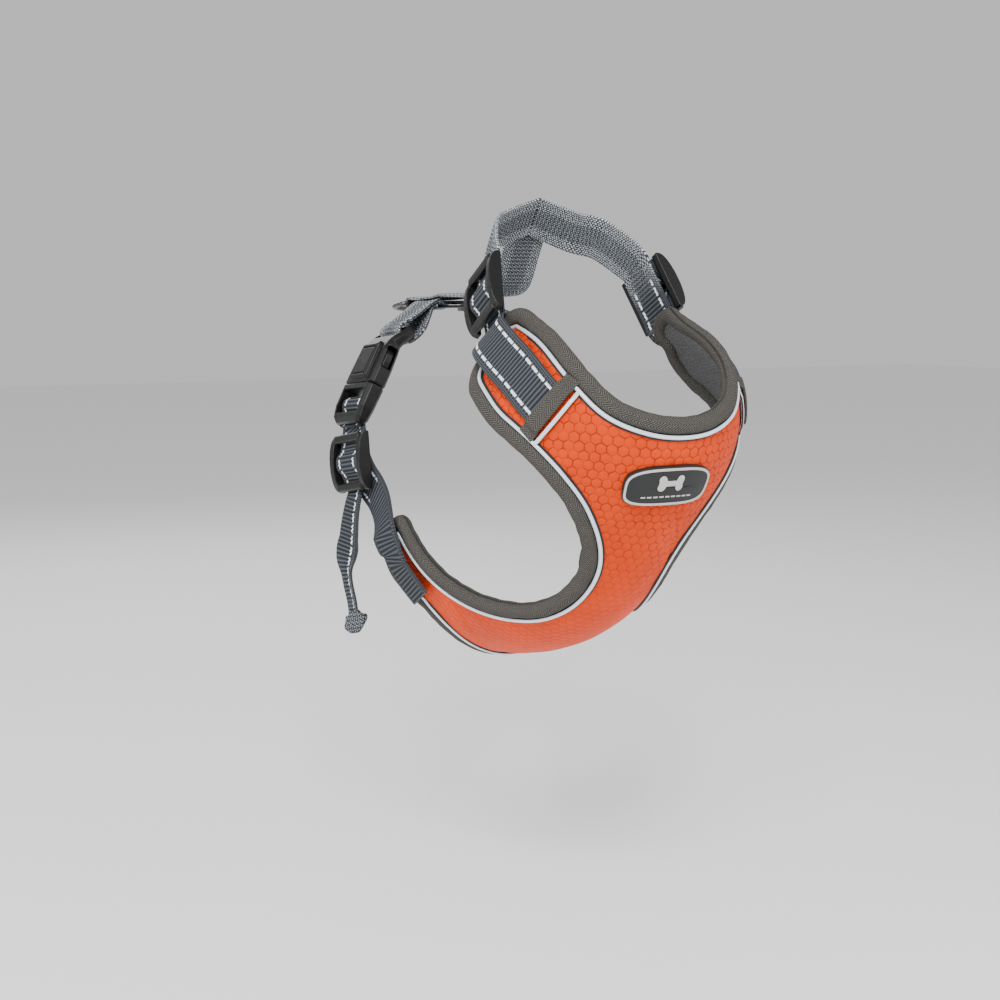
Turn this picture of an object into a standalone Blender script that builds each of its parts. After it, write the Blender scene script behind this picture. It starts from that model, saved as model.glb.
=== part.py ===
# A dog's no-pull harness, standing in the shape it takes when worn: +Z up, the dog faces -Y.
# The frame's origin is the spot on the dog's back that the ring's backing pad rests on.
# Every length below is in millimetres and every angle in degrees; solid() turns them to metres.
import bmesh
import bpy
import math
import numpy as np

MM = 0.001

# ---- the body the harness is shaped to: three blended egg forms (centre, radii, lean)
CHEST_FORM = ((0.0, -54.0, -96.0), (78.0, 166.0, 101.0), 0.0)
FORECHEST_FORM = ((0.0, -157.0, -73.0), (72.0, 65.0, 100.0), 62.0)
NECK_FORM = ((0.0, -158.0, 14.0), (45.0, 59.0, 101.0), 33.0)
FORM_BLEND = 0.16
FORM_CENTRE = np.array([0.0, -95.0, -95.0])
BACK_TAPER = 0.9
ELBOW_TAPER = 0.09

# ---- panel layers, counted outward from the body
LINING_BASE = 0.9
LINING_THICK = 1.6
FABRIC_THICK = 1.2
LAYER_GAP = 0.3
BINDING_LEG = 1.4
BINDING_INNER = 4.0
BINDING_OUTER = 4.4
EDGE_FIT = 0.9
PIPING_RADIUS = 1.15

# ---- webbing
WEB_WIDTH = 25.0
WEB_THICK = 1.7
TAPE_WIDTH = 8.4
STRIP_WIDTH = 2.3

# ---- badge
BADGE_LENGTH = 45.0
BADGE_WIDTH = 18.5
BADGE_THICK = 1.8

# ---- tri-glides
GLIDE_LENGTH = 33.0
GLIDE_CHEEK = 4.4
GLIDE_BAR = 5.0
GLIDE_RISE = 6.6

# ---- side release buckle
BUCKLE_WIDTH = 34.0
BUCKLE_THICK = 11.0
BUCKLE_WALL = 2.3
FEMALE_BODY = 26.0
FEMALE_BAR_REACH = 17.0
FEMALE_BEND = 26.0
MALE_BODY = 24.5
MOUTH_RING = 11.0
GUIDE_WIDTH = 6.0
FIT = 0.3

# ---- D-ring
RING_WIRE = 3.0
RING_INSIDE = 29.0

for ob in list(bpy.data.objects):
    bpy.data.objects.remove(ob, do_unlink=True)


def form(p):
    """Signed size of the blended body at points p: below zero inside."""
    total = 0.0
    for k, (centre, radii, lean) in enumerate((CHEST_FORM, FORECHEST_FORM, NECK_FORM)):
        q = p - np.array(centre)
        a = math.radians(lean)
        y = q[..., 1] * math.cos(a) + q[..., 2] * math.sin(a)
        z = -q[..., 1] * math.sin(a) + q[..., 2] * math.cos(a)
        rx = radii[0]
        if k == 0:
            rx = rx * (1.0 - BACK_TAPER * np.clip(z / radii[2], 0.0, 1.0) ** 3)
            rx = rx * (1.0 - ELBOW_TAPER * np.clip((-20.0 - p[..., 1]) / 60.0, 0.0, 1.0))
        s = np.sqrt((q[..., 0] / rx) ** 2 + (y / radii[1]) ** 2 + (z / radii[2]) ** 2)
        total = total + np.exp(-FORM_BLEND * (s - 1.0) * min(radii))
    return -np.log(total) / FORM_BLEND


def outward(p):
    """Unit direction away from the body at points p."""
    g = [form(p + e) - form(p - e) for e in np.eye(3) * 0.5]
    g = np.stack(g, axis=-1)
    return g / np.linalg.norm(g, axis=-1, keepdims=True)


def skin(around, side, lift=0.0):
    """Point over the body: around is 0 ahead, 90 below, 180 behind; side is 0 on the midline."""
    a = np.radians(np.asarray(around, float))
    b = np.radians(np.asarray(side, float))
    d = np.stack([np.sin(b), -np.cos(b) * np.cos(a), -np.cos(b) * np.sin(a)], axis=-1)
    low = np.full(d.shape[:-1], 5.0)
    high = np.full(d.shape[:-1], 400.0)
    for _ in range(36):
        mid = (low + high) / 2.0
        inside = form(FORM_CENTRE + d * mid[..., None]) < 0.0
        low = np.where(inside, mid, low)
        high = np.where(inside, high, mid)
    p = FORM_CENTRE + d * ((low + high) / 2.0)[..., None]
    return p + outward(p) * np.asarray(lift)[..., None]


def curve(points, count):
    """Smooth line through the points, cut at equal steps of its length."""
    p = np.asarray(points, float)
    if len(p) == 2:
        fine = p[0] + (p[1] - p[0]) * np.linspace(0, 1, 200)[:, None]
    else:
        ends = np.vstack([2 * p[0] - p[1], p, 2 * p[-1] - p[-2]])
        rows = []
        for i in range(1, len(ends) - 2):
            p0, p1, p2, p3 = ends[i - 1: i + 3]
            t = np.linspace(0, 1, 40, endpoint=False)[:, None]
            rows.append(0.5 * (2 * p1 + (p2 - p0) * t + (2 * p0 - 5 * p1 + 4 * p2 - p3) * t ** 2
                               + (3 * p1 - p0 - 3 * p2 + p3) * t ** 3))
        fine = np.vstack(rows + [p[-1:]])
    along = np.concatenate([[0], np.cumsum(np.linalg.norm(np.diff(fine, axis=0), axis=1))])
    want = np.linspace(0, along[-1], count)
    return np.stack([np.interp(want, along, fine[:, k]) for k in range(p.shape[1])], axis=-1)


def unit(v):
    return v / np.linalg.norm(v, axis=-1, keepdims=True)


def frames(path, up=None):
    """Run, width and outward directions along a path; up defaults to away from the body."""
    run = unit(np.gradient(path, axis=0))
    up = outward(path) if up is None else np.broadcast_to(np.asarray(up, float), path.shape)
    wide = unit(np.cross(up, run))
    return run, wide, np.cross(run, wide)


MATERIALS = {}


def material(name, colour, rough, metal=0.0):
    if name not in MATERIALS:
        m = bpy.data.materials.new(name)
        m.use_nodes = True
        s = m.node_tree.nodes["Principled BSDF"]
        s.inputs["Base Color"].default_value = (*colour, 1.0)
        s.inputs["Roughness"].default_value = rough
        s.inputs["Metallic"].default_value = metal
        MATERIALS[name] = m
    return MATERIALS[name]


def solid(name, points, faces, look, hinge=(0.0, 0.0, 0.0), smooth=True):
    """Make one named closed solid; hinge is the point its origin sits on."""
    mesh = bpy.data.meshes.new(name)
    at = np.asarray(hinge, float)
    mesh.from_pydata([tuple((np.asarray(p) - at) * MM) for p in points], [], [tuple(f) for f in faces])
    work = bmesh.new()
    work.from_mesh(mesh)
    bmesh.ops.recalc_face_normals(work, faces=work.faces)
    if work.calc_volume(signed=True) < 0:
        bmesh.ops.reverse_faces(work, faces=work.faces)
    work.to_mesh(mesh)
    work.free()
    ob = bpy.data.objects.new(name, mesh)
    ob.location = tuple(at * MM)
    bpy.context.collection.objects.link(ob)
    mesh.materials.append(material(name, *look))
    if smooth:
        mesh.shade_smooth()
        mesh.set_sharp_from_angle(angle=math.radians(38))
    return ob


def mirror(points):
    return np.asarray(points) * np.array([-1.0, 1.0, 1.0])


def both_sides(stem, points, faces, look, hinge=(0.0, 0.0, 0.0)):
    """The same solid on the dog's right (-X) and, mirrored, on its left."""
    solid(stem + "_right", points, faces, look, hinge)
    solid(stem + "_left", mirror(points), [f[::-1] for f in faces], look, mirror(hinge))


def loft(rings, closed=False):
    """Skin a run of equal rings (stations x corners x 3)."""
    rings = np.asarray(rings, float)
    n, m = rings.shape[:2]
    points = rings.reshape(-1, 3)
    faces = []
    for i in range(n if closed else n - 1):
        j = (i + 1) % n
        for k in range(m):
            l = (k + 1) % m
            faces.append((i * m + k, i * m + l, j * m + l, j * m + k))
    if not closed:
        faces.append(tuple(range(m))[::-1])
        faces.append(tuple((n - 1) * m + k for k in range(m)))
    return points, faces


def swept(path, section, up=None):
    """Sweep a section of (across, outward) corners along a path."""
    run, wide, out = frames(path, up)
    s = np.asarray(section, float)
    return loft(path[:, None] + wide[:, None] * s[None, :, 0, None] + out[:, None] * s[None, :, 1, None])


def band_section(width, thick, soft=0.35):
    """Flat webbing section with softened edges."""
    w, t = width / 2, thick / 2
    return [(-w, -t * soft), (-w + t, -t), (w - t, -t), (w, -t * soft),
            (w, t * soft), (w - t, t), (-w + t, t), (-w, t * soft)]


def ring_section(radius, sides, squash=1.0):
    a = np.linspace(0, 2 * math.pi, sides, endpoint=False)
    return [(radius * math.cos(t), radius * squash * math.sin(t)) for t in a]


# ---------------------------------------------------------------- front panel
# The panel's cut edges, right half, as (around, side) stations on the body.
ARMHOLE = [(-46.5, -27.5), (-44.6, -31), (-41, -34.2), (-36, -35.8), (-29, -34.8), (-21.5, -32.3), (-13.5, -27),
           (-6, -21.6), (1.2, -16.9), (10.8, -12.6), (19.5, -11.4), (30, -13.2), (39.9, -17.5), (48, -23.5),
           (57, -31.5), (67, -41), (79, -51.5), (91, -60.5), (102, -66.5), (111, -69), (118.5, -68), (123, -63.5),
           (124, -57.5)]
NECKLINE = [(-46.5, -27.5), (-49.6, -25), (-50.8, -22.3), (-48.8, -20), (-45, -19.2), (-38.5, -18.6),
            (-29.3, -17.3), (-22.8, -15.1), (-18.0, -11.7), (-15.0, -6.1), (-14.1, 0)]
REAR_EDGE = [(97, 0), (97, -9), (97, -18), (98, -27), (102, -35.2), (110, -39.8), (118.5, -43.8), (124, -50),
             (124, -57.5)]
ROWS_NECK = 17
ROWS_MID = 13
ROWS_REAR = 15
COL_STEPS = (0.0, 0.12, 0.37, 0.63, 0.88, 1.0)
COLS = len(COL_STEPS)

armhole_path = curve(ARMHOLE, ROWS_NECK + ROWS_MID + ROWS_REAR)
neck_path = curve(NECKLINE, ROWS_NECK)
mid_path = curve([(NECKLINE[-1][0], 0), (40, 0), (REAR_EDGE[0][0], 0)], ROWS_MID + 2)[1:-1]
rear_path = curve(REAR_EDGE, ROWS_REAR)
inner_path = np.vstack([neck_path, mid_path, rear_path])


def panel(base, thick):
    """Both halves of the panel as one layer, right edge to left edge in every row."""
    rows = []
    for outer, inner in zip(armhole_path, inner_path):
        t = np.array(COL_STEPS)[:, None]
        rows.append(outer + (inner - outer) * t)
    half = np.array(rows)
    left = half * np.array([1.0, -1.0])
    points = []
    index = {}

    def corner(i, j, flip, top):
        on_mid = j == COLS - 1 and abs(half[i, j, 1]) < 1e-6
        if i in (0, len(half) - 1):
            j = 0
        key = (i, j, 0 if on_mid else flip, top)
        if key not in index:
            a = (left if flip else half)[i, j]
            index[key] = len(points)
            points.append(skin(a[0], a[1], base + (thick if top else 0.0)))
        return index[key]

    faces = []
    border = {}
    for flip in (0, 1):
        for i in range(len(half) - 1):
            for j in range(COLS - 1):
                around = [(i, j), (i + 1, j), (i + 1, j + 1), (i, j + 1)]
                if i == 0:
                    around = around[:3]
                elif i == len(half) - 2:
                    around = around[:2] + around[3:]
                if flip:
                    around = around[:1] + around[:0:-1]
                quad = [corner(*a, flip, 1) for a in around]
                base_quad = [corner(*a, flip, 0) for a in around]
                for k in range(1, len(quad) - 1):
                    faces.append([quad[0], quad[k], quad[k + 1]])
                    faces.append([base_quad[0], base_quad[k + 1], base_quad[k]])
                for k in range(len(quad)):
                    a, b = quad[k], quad[(k + 1) % len(quad)]
                    pair = (base_quad[k], base_quad[(k + 1) % len(quad)])
                    if (b, a) in border:
                        del border[(b, a)]
                    else:
                        border[(a, b)] = pair
    for (a, b), (c, d) in border.items():
        faces.append([b, a, c])
        faces.append([b, c, d])
    return points, faces


ORANGE = ((0.87, 0.085, 0.014), 0.62)
MESH_GREY = ((0.035, 0.036, 0.038), 0.85)
BINDING_GREY = ((0.145, 0.135, 0.12), 0.9)
REFLECT = ((0.78, 0.84, 0.88), 0.35)
WEBBING = ((0.12, 0.13, 0.15), 0.8)
BLACK_PLASTIC = ((0.018, 0.019, 0.02), 0.42)
BADGE_BLACK = ((0.03, 0.031, 0.033), 0.55)
STEEL = ((0.08, 0.08, 0.085), 0.35, 1.0)

fabric_base = LINING_BASE + LINING_THICK + LAYER_GAP
fabric_top = fabric_base + FABRIC_THICK
solid("chest_panel_lining", *panel(LINING_BASE, LINING_THICK), MESH_GREY)
solid("chest_panel_fabric", *panel(fabric_base, FABRIC_THICK), ORANGE)

# Edge binding: herringbone tape rolled over the padded edge, open toward the panel it grips.
slot_low = LINING_BASE - EDGE_FIT
slot_high = fabric_top + EDGE_FIT
binding_top = slot_high + BINDING_LEG
BINDING_SECTION = [
    (-BINDING_INNER, slot_high), (0.35, slot_high), (0.35, slot_low), (-BINDING_INNER, slot_low),
    (-BINDING_INNER + 0.5, slot_low - BINDING_LEG * 0.8), (1.0, slot_low - BINDING_LEG),
    (3.4, 0.2), (BINDING_OUTER, 2.5), (3.6, binding_top - 1.2), (1.4, binding_top + 0.3),
    (-BINDING_INNER + 0.7, binding_top)]
PIPE_ACROSS = -BINDING_INNER - FIT - PIPING_RADIUS
PIPE_OUT = fabric_top + EDGE_FIT + 0.3 + PIPING_RADIUS


def edge_run(stations, section, side):
    """Sweep a section along a panel edge; side is +1 when the free side is to the path's left."""
    path = skin(*np.asarray(stations).T)
    up = outward(path)
    run = unit(np.gradient(path, axis=0))
    free = unit(np.cross(up, run)) * side
    s = np.asarray(section, float)
    rings = path[:, None] + free[:, None] * s[None, :, 0, None] + up[:, None] * s[None, :, 1, None]
    return loft(rings)


def across_midline(stations):
    """Right-hand stations ending on the midline, carried on to the mirror side."""
    s = np.asarray(stations)
    return np.vstack([s, (s[:-1] * np.array([1.0, -1.0]))[::-1]])


full_neck = across_midline(neck_path)
full_rear = across_midline(rear_path[::-1])
pipe_section = [(PIPE_ACROSS + x, PIPE_OUT + y) for x, y in ring_section(PIPING_RADIUS, 8)]

solid("neck_binding", *edge_run(full_neck[1:-1], BINDING_SECTION, 1), BINDING_GREY)
solid("neck_piping", *edge_run(full_neck[1:-1], pipe_section, 1), REFLECT)
both_sides("armhole_binding", *edge_run(armhole_path[1:-1], BINDING_SECTION, -1), BINDING_GREY)
both_sides("armhole_piping", *edge_run(armhole_path[1:-1], pipe_section, -1), REFLECT)
solid("belly_binding", *edge_run(full_rear[1:-1], BINDING_SECTION, -1), BINDING_GREY)
solid("belly_piping", *edge_run(full_rear[1:-1], pipe_section, -1), REFLECT)

# ---------------------------------------------------------------- shoulder straps
web_lift = fabric_top + LAYER_GAP + WEB_THICK / 2
# Sewn along the arm, over the arm's rounded end, under the tri-glide and up to the nape.
glide_centre = skin(-61.5, -21.3, 3.6)
glide_run = unit(skin(-73.0, -16.5) - skin(-49.0, -26.5))
glide_wide = unit(np.cross(outward(glide_centre), glide_run))
glide_out = np.cross(glide_run, glide_wide)
strap_points = [skin(-19.8, -21.6, web_lift), skin(-25, -23.9, web_lift), skin(-31, -25.6, web_lift + 0.4),
                skin(-36, -26.6, web_lift + 2.8), skin(-41, -26.9, web_lift + 5.8), skin(-46.5, -26.3, web_lift + 6.0)]
strap_points += [glide_centre + glide_run * d for d in (-20.0, -13.0, -6.5, 0.0, 6.5, 13.0, 20.0)]
strap_points += [skin(-77.6, -13.6, 2.2), skin(-81.6, -10.2, 2.2), skin(-84.0, -6.3, 2.0), skin(-84.8, -2.0, 2.0)]
shoulder_path = curve(strap_points, 34)


def held_flat(path, centre, out):
    """Outward directions along a strap, turned square to the tri-glide where it passes under it."""
    share = np.clip((26.0 - np.linalg.norm(path - centre, axis=1)) / 8.0, 0.0, 1.0)[:, None]
    up = outward(path)
    near = int(np.argmin(np.linalg.norm(path - centre, axis=1)))
    for _ in range(len(path) // 4):
        up[near + 1:-1] = unit((up[near:-2] + 2.0 * up[near + 1:-1] + up[near + 2:]) / 4.0)
    return unit(up * (1.0 - share) + out * share)


both_sides("neck_strap", *swept(shoulder_path, band_section(WEB_WIDTH, WEB_THICK),
                                held_flat(shoulder_path, glide_centre, glide_out)), WEBBING)

# Tape sewn across the arm over the strap's end, with the reflective strip along its chest side.
TAPE_ENDS = ((-17.0, -25.8), (-24.0, -17.7))
STRIP_ENDS = ((-15.1, -24.1), (-21.2, -17.4))


def across_arm(ends, lift, width, thick, count=9):
    a, b = (np.asarray(e, float) for e in ends)
    line = np.array([a + (b - a) * t for t in np.linspace(0, 1, count)])
    path = skin(line[:, 0], line[:, 1], lift)
    return swept(path, band_section(width, thick))


tape_lift = fabric_top + 2.9 + WEB_THICK / 2 + 0.7
both_sides("arm_tape", *across_arm(TAPE_ENDS, tape_lift, TAPE_WIDTH, 1.6), BINDING_GREY)
both_sides("arm_strip", *across_arm(STRIP_ENDS, fabric_top + 1.3, STRIP_WIDTH, 1.2), REFLECT)

# ---------------------------------------------------------------- badge
BADGE_AT = (-4.4, -0.9)


def on_skin(flat, base, thick, at, turn=0.0):
    """Lay a flat outline (mm across, mm up) on the panel, given thickness."""
    c, s = math.cos(math.radians(turn)), math.sin(math.radians(turn))
    centre = skin(*at)
    reach = np.linalg.norm(centre - FORM_CENTRE)
    low, top = [], []
    for x, y in flat:
        u, v = x * c - y * s, x * s + y * c
        around = at[0] - math.degrees(v / reach)
        side = at[1] + math.degrees(u / reach)
        low.append(skin(around, side, base))
        top.append(skin(around, side, base + thick))
    return low, top


def oblong(length, width, power, count):
    """Rounded outline: straight flanks with full ends."""
    pts = []
    for t in np.linspace(0, 2 * math.pi, count, endpoint=False):
        c, s = math.cos(t), math.sin(t)
        x = length / 2 * math.copysign(abs(c) ** power, c)
        y = width / 2 * math.copysign(abs(s) ** power, s)
        pts.append((x, y))
    return pts


rings = []
rim = oblong(BADGE_LENGTH, BADGE_WIDTH, 0.55, 28)
for grow, base in ((0.0, fabric_top + 0.5), (1.0, fabric_top + 0.5), (1.0, fabric_top + 0.5 + BADGE_THICK),
                   (0.86, fabric_top + 0.7 + BADGE_THICK), (0.5, fabric_top + 0.8 + BADGE_THICK)):
    scale = max(grow, 0.4)
    rings.append(on_skin([(x * scale, y * scale) for x, y in rim], base, 0.0, BADGE_AT)[0])
solid("badge", *loft(rings), BADGE_BLACK)


# ---------------------------------------------------------------- tri-glides
def placed(local, centre, run, wide, out):
    """Put local (along, across, outward) corners into the harness frame."""
    p = np.asarray(local, float)
    return centre + p[:, :1] * run + p[:, 1:2] * wide + p[:, 2:] * out


def box(lo, hi):
    x0, y0, z0 = lo
    x1, y1, z1 = hi
    pts = [(x0, y0, z0), (x1, y0, z0), (x1, y1, z0), (x0, y1, z0)]
    pts += [(x0, y0, z1), (x1, y0, z1), (x1, y1, z1), (x0, y1, z1)]
    return pts, [(3, 2, 1, 0), (4, 5, 6, 7), (0, 1, 5, 4), (1, 2, 6, 5), (2, 3, 7, 6), (3, 0, 4, 7)]


def prism(outline, lo, hi, axes):
    """Extrude a 2-D outline; axes says which local axis each outline value and the depth fill."""
    pts = []
    for d in (lo, hi):
        for a, b in outline:
            p = [0.0, 0.0, 0.0]
            p[axes[0]] = a
            p[axes[1]] = b
            p[axes[2]] = d
            pts.append(p)
    n = len(outline)
    faces = [tuple(range(n))[::-1], tuple(range(n, 2 * n))]
    faces += [(k, (k + 1) % n, n + (k + 1) % n, n + k) for k in range(n)]
    return pts, faces


def joined(parts, cuts=()):
    """Union of closed shapes less the cutters, as points and faces."""
    objects = []
    for k, (pts, faces) in enumerate(list(parts) + list(cuts)):
        mesh = bpy.data.meshes.new("shape")
        mesh.from_pydata([tuple(p) for p in np.asarray(pts, float)], [], [tuple(f) for f in faces])
        work = bmesh.new()
        work.from_mesh(mesh)
        bmesh.ops.recalc_face_normals(work, faces=work.faces)
        if work.calc_volume(signed=True) < 0:
            bmesh.ops.reverse_faces(work, faces=work.faces)
        work.to_mesh(mesh)
        work.free()
        ob = bpy.data.objects.new("shape", mesh)
        bpy.context.collection.objects.link(ob)
        objects.append((ob, "UNION" if k < len(parts) else "DIFFERENCE"))
    base = objects[0][0]
    for ob, how in objects[1:]:
        mod = base.modifiers.new("b", "BOOLEAN")
        mod.operation = how
        mod.solver = "EXACT"
        mod.object = ob
    mesh = base.evaluated_get(bpy.context.evaluated_depsgraph_get()).to_mesh()
    work = bmesh.new()
    work.from_mesh(mesh)
    bmesh.ops.remove_doubles(work, verts=work.verts, dist=0.002)
    bmesh.ops.dissolve_limit(work, angle_limit=math.radians(1.0), verts=work.verts, edges=work.edges)
    bmesh.ops.triangulate(work, faces=work.faces, quad_method="BEAUTY", ngon_method="BEAUTY")
    work.verts.index_update()
    pts = [tuple(v.co) for v in work.verts]
    faces = [tuple(v.index for v in f.verts) for f in work.faces]
    work.free()
    for ob, _ in objects:
        bpy.data.objects.remove(ob, do_unlink=True)
    return pts, faces


half = GLIDE_LENGTH / 2
cheek_in = WEB_WIDTH / 2 + 0.9
cheek_out = cheek_in + GLIDE_CHEEK
# local height 0 is the strap's mid thickness; the frame rests a gap above the strap
glide_floor = WEB_THICK / 2 + 0.9
CHEEK_OUTLINE = [(-half, glide_floor), (half, glide_floor), (half + 0.6, glide_floor + 1.6),
                 (half - 1.6, glide_floor + 4.2), (half * 0.55, glide_floor + GLIDE_RISE), (0, glide_floor + GLIDE_RISE + 0.9),
                 (-half * 0.55, glide_floor + GLIDE_RISE), (-half + 1.6, glide_floor + 4.2),
                 (-half - 0.6, glide_floor + 1.6)]
BAR_RISE = 3.6


def bar_outline(at, wide, low, high):
    w = wide / 2
    return [(at - w, low + 0.7), (at - w + 0.7, low), (at + w - 0.7, low), (at + w, low + 0.7), (at + w, high - 0.9),
            (at + w - 0.9, high), (at - w + 0.9, high), (at - w, high - 0.9)]


bar_span = cheek_in + 0.5
centre_low = glide_floor + WEB_THICK + 0.6
glide_parts = [prism(CHEEK_OUTLINE, cheek_in, cheek_out, (0, 2, 1)),
               prism(CHEEK_OUTLINE, -cheek_out, -cheek_in, (0, 2, 1))]
for at in (-half + GLIDE_BAR / 2, half - GLIDE_BAR / 2):
    glide_parts.append(prism(bar_outline(at, GLIDE_BAR, glide_floor + WEB_THICK + 0.6, glide_floor + WEB_THICK + 4.2),
                             -bar_span, bar_span, (0, 2, 1)))
glide_parts.append(prism(bar_outline(0.0, 3.4, centre_low + 0.2, centre_low + 2.2), -bar_span, bar_span, (0, 2, 1)))
glide_shape = joined(glide_parts)
BAND_LOW = glide_floor + WEB_THICK / 2 + 0.15
BAND_HIGH = centre_low + 2.2 + 0.35 + WEB_THICK / 2
BAND_RUN = [(-half + 0.8, BAND_LOW), (-half + 5.4, BAND_LOW), (-6.6, BAND_LOW + 1.6), (-3.2, BAND_HIGH - 0.4),
            (0, BAND_HIGH), (3.2, BAND_HIGH - 0.4), (6.6, BAND_LOW + 1.6), (half - 5.4, BAND_LOW), (half - 0.8, BAND_LOW)]


def band_in_glide(centre, run, wide, out):
    local = curve([(a, 0.0, h) for a, h in BAND_RUN], 17)
    path = placed(local, centre, run, wide, out)
    tangent = unit(np.gradient(path, axis=0))
    return swept(path, band_section(WEB_WIDTH, WEB_THICK * 0.9), np.cross(tangent, wide))


def tri_glide(stem, centre, run, wide, out):
    pts = placed(glide_shape[0], centre, run, wide, out)
    both_sides(stem, pts, glide_shape[1], BLACK_PLASTIC, centre)
    band = band_in_glide(centre, run, wide, out)
    both_sides(stem + "_band", *band, WEBBING, centre)


tri_glide("neck_glide", glide_centre, glide_run, glide_wide, glide_out)

# ---------------------------------------------------------------- girth side: buckle, tri-glide, strap
mouth = np.array([-65.4, -24.3, -46.3])
buckle_run = unit(np.array([-24.4, -6.0, -42.0]))
buckle_wide = unit(np.cross(np.array([-0.82, 0.0, 0.5]), buckle_run))
buckle_out = np.cross(buckle_run, buckle_wide)
bw = BUCKLE_WIDTH / 2
bt = BUCKLE_THICK / 2


def rounded(width, thick, soft):
    w, t = width, thick
    return [(-w, -t + soft), (-w + soft, -t), (w - soft, -t), (w, -t + soft), (w, t - soft), (w - soft, t),
            (-w + soft, t), (-w, t - soft)]


def hull_run(stations, soft=2.2):
    """Loft rounded sections; each station is (along, half width, half thickness, rise)."""
    rings = []
    for a, w, t, rise in stations:
        rings.append([(a, y, z + rise) for y, z in rounded(w, t, min(soft, t * 0.6))])
    return loft(rings)


cavity_w = bw - BUCKLE_WALL - 1.0
cavity_t = bt - BUCKLE_WALL
body = -FEMALE_BODY
reach = body - FEMALE_BAR_REACH
female = joined(
    [hull_run([(-0.2, bw, bt, 0.0), (-3.0, bw, bt, 0.0), (-MOUTH_RING, bw - 0.2, bt, 0.0),
               (body + 4, bw - 1.0, bt - 0.3, 0.0), (body - 2, bw - 1.8, bt - 1.2, -0.6), (reach + 7, bw - 0.6, bt - 1.9, -1.2),
               (reach + 2.2, bw - 0.6, bt - 1.9, -1.2), (reach, bw - 1.8, bt - 2.9, -1.2)]),
     hull_run([(-3.2, 9.8, 1.4, bt + 0.2), (-4.2, 10.6, 1.5, bt + 0.6), (body + 1, 9.4, 1.5, bt + 0.5),
               (body, 8.6, 1.2, bt - 0.2)], 0.8)],
    [box((body + 0.5, -cavity_w, -cavity_t), (2.0, cavity_w, cavity_t)),
     box((body + 1.2, 10.4, -cavity_t - 0.001), (-MOUTH_RING, bw + 3, cavity_t + 0.001)),
     box((body + 1.2, -bw - 3, -cavity_t - 0.001), (-MOUTH_RING, -10.4, cavity_t + 0.001)),
     box((reach + 5.2, -WEB_WIDTH / 2 - 0.8, -20), (reach + 11.0, WEB_WIDTH / 2 + 0.8, 20))])
bend_at = body + 1.0
bend_over = 8.0


def bent(points):
    """Curl the bar end of the female half toward the body."""
    res = []
    for a, y, z in points:
        if a < bend_at:
            d = bend_at - a
            full = math.radians(FEMALE_BEND)
            r = bend_over / full
            turn = min(d, bend_over) / bend_over * full
            rest = max(0.0, d - bend_over)
            low = z + r
            a2 = bend_at - low * math.sin(turn) - rest * math.cos(turn)
            z2 = low * math.cos(turn) - r - rest * math.sin(turn)
            res.append((a2, y, z2))
        else:
            res.append((a, y, z))
    return res


def on_buckle(points):
    return placed(np.asarray(points, float), mouth, buckle_run, buckle_wide, buckle_out)


both_sides("buckle_female", on_buckle(bent(female[0])), female[1], BLACK_PLASTIC)

m0 = FIT
male = joined(
    [hull_run([(m0, bw, bt, 0.0), (m0 + 3, bw, bt, 0.0), (MALE_BODY * 0.6, bw, bt - 0.3, 0.0),
               (MALE_BODY - 3, bw - 0.8, bt - 1.1, -0.5), (MALE_BODY, bw - 3.0, bt - 2.6, -1.2)]),
     hull_run([(-23.0, GUIDE_WIDTH / 2 - 1.2, 1.6, 0.0), (-21.0, GUIDE_WIDTH / 2, 2.2, 0.0),
               (m0 + 1, GUIDE_WIDTH / 2, 2.2, 0.0)], 0.8)],
    [box((m0 + 3.6, -WEB_WIDTH / 2 - 0.9, -20), (m0 + 9.7, WEB_WIDTH / 2 + 0.9, 20)),
     box((m0 + 12.4, -WEB_WIDTH / 2 - 0.9, -20), (MALE_BODY - 5.4, WEB_WIDTH / 2 + 0.9, 20)),
     box((m0 + 9.0, -WEB_WIDTH / 2 - 0.9, 0.7), (m0 + 13.0, WEB_WIDTH / 2 + 0.9, 20)),
     box((m0 + 9.0, -WEB_WIDTH / 2 - 0.9, -20), (m0 + 13.0, WEB_WIDTH / 2 + 0.9, -2.0)),
     box((MALE_BODY - 6.0, -WEB_WIDTH / 2 - 0.9, -20), (MALE_BODY + 2, WEB_WIDTH / 2 + 0.9, -0.9))])
both_sides("buckle_male", on_buckle(male[0]), male[1], BLACK_PLASTIC)

# Release arms: sprung tongues either side of the guide, each with its button in the side window.
arm_thick = cavity_t - 0.35
for tag, sign in (("front", 1.0), ("rear", -1.0)):
    arm = joined([hull_run([(-0.1, 0.9, arm_thick - 0.4, 0.0), (-14.0, 1.2, arm_thick - 0.4, 0.0)], 0.6),
                  hull_run([(-MOUTH_RING - 0.5, 2.7, arm_thick, 0.0), (-15.0, 3.0, arm_thick, 0.0),
                            (-20.0, 2.6, arm_thick, 0.0), (body + 3.2, 1.2, arm_thick - 0.5, 0.0)], 1.0)])
    pts = []
    for a, y, z in arm[0]:
        lean = 9.9 if a > -MOUTH_RING else 12.6
        pts.append((a, sign * (y + lean), z))
    root = on_buckle([(-0.1, sign * 9.9, 0.0)])[0]
    both_sides("release_arm_" + tag, on_buckle(pts), arm[1], BLACK_PLASTIC, root)


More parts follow.
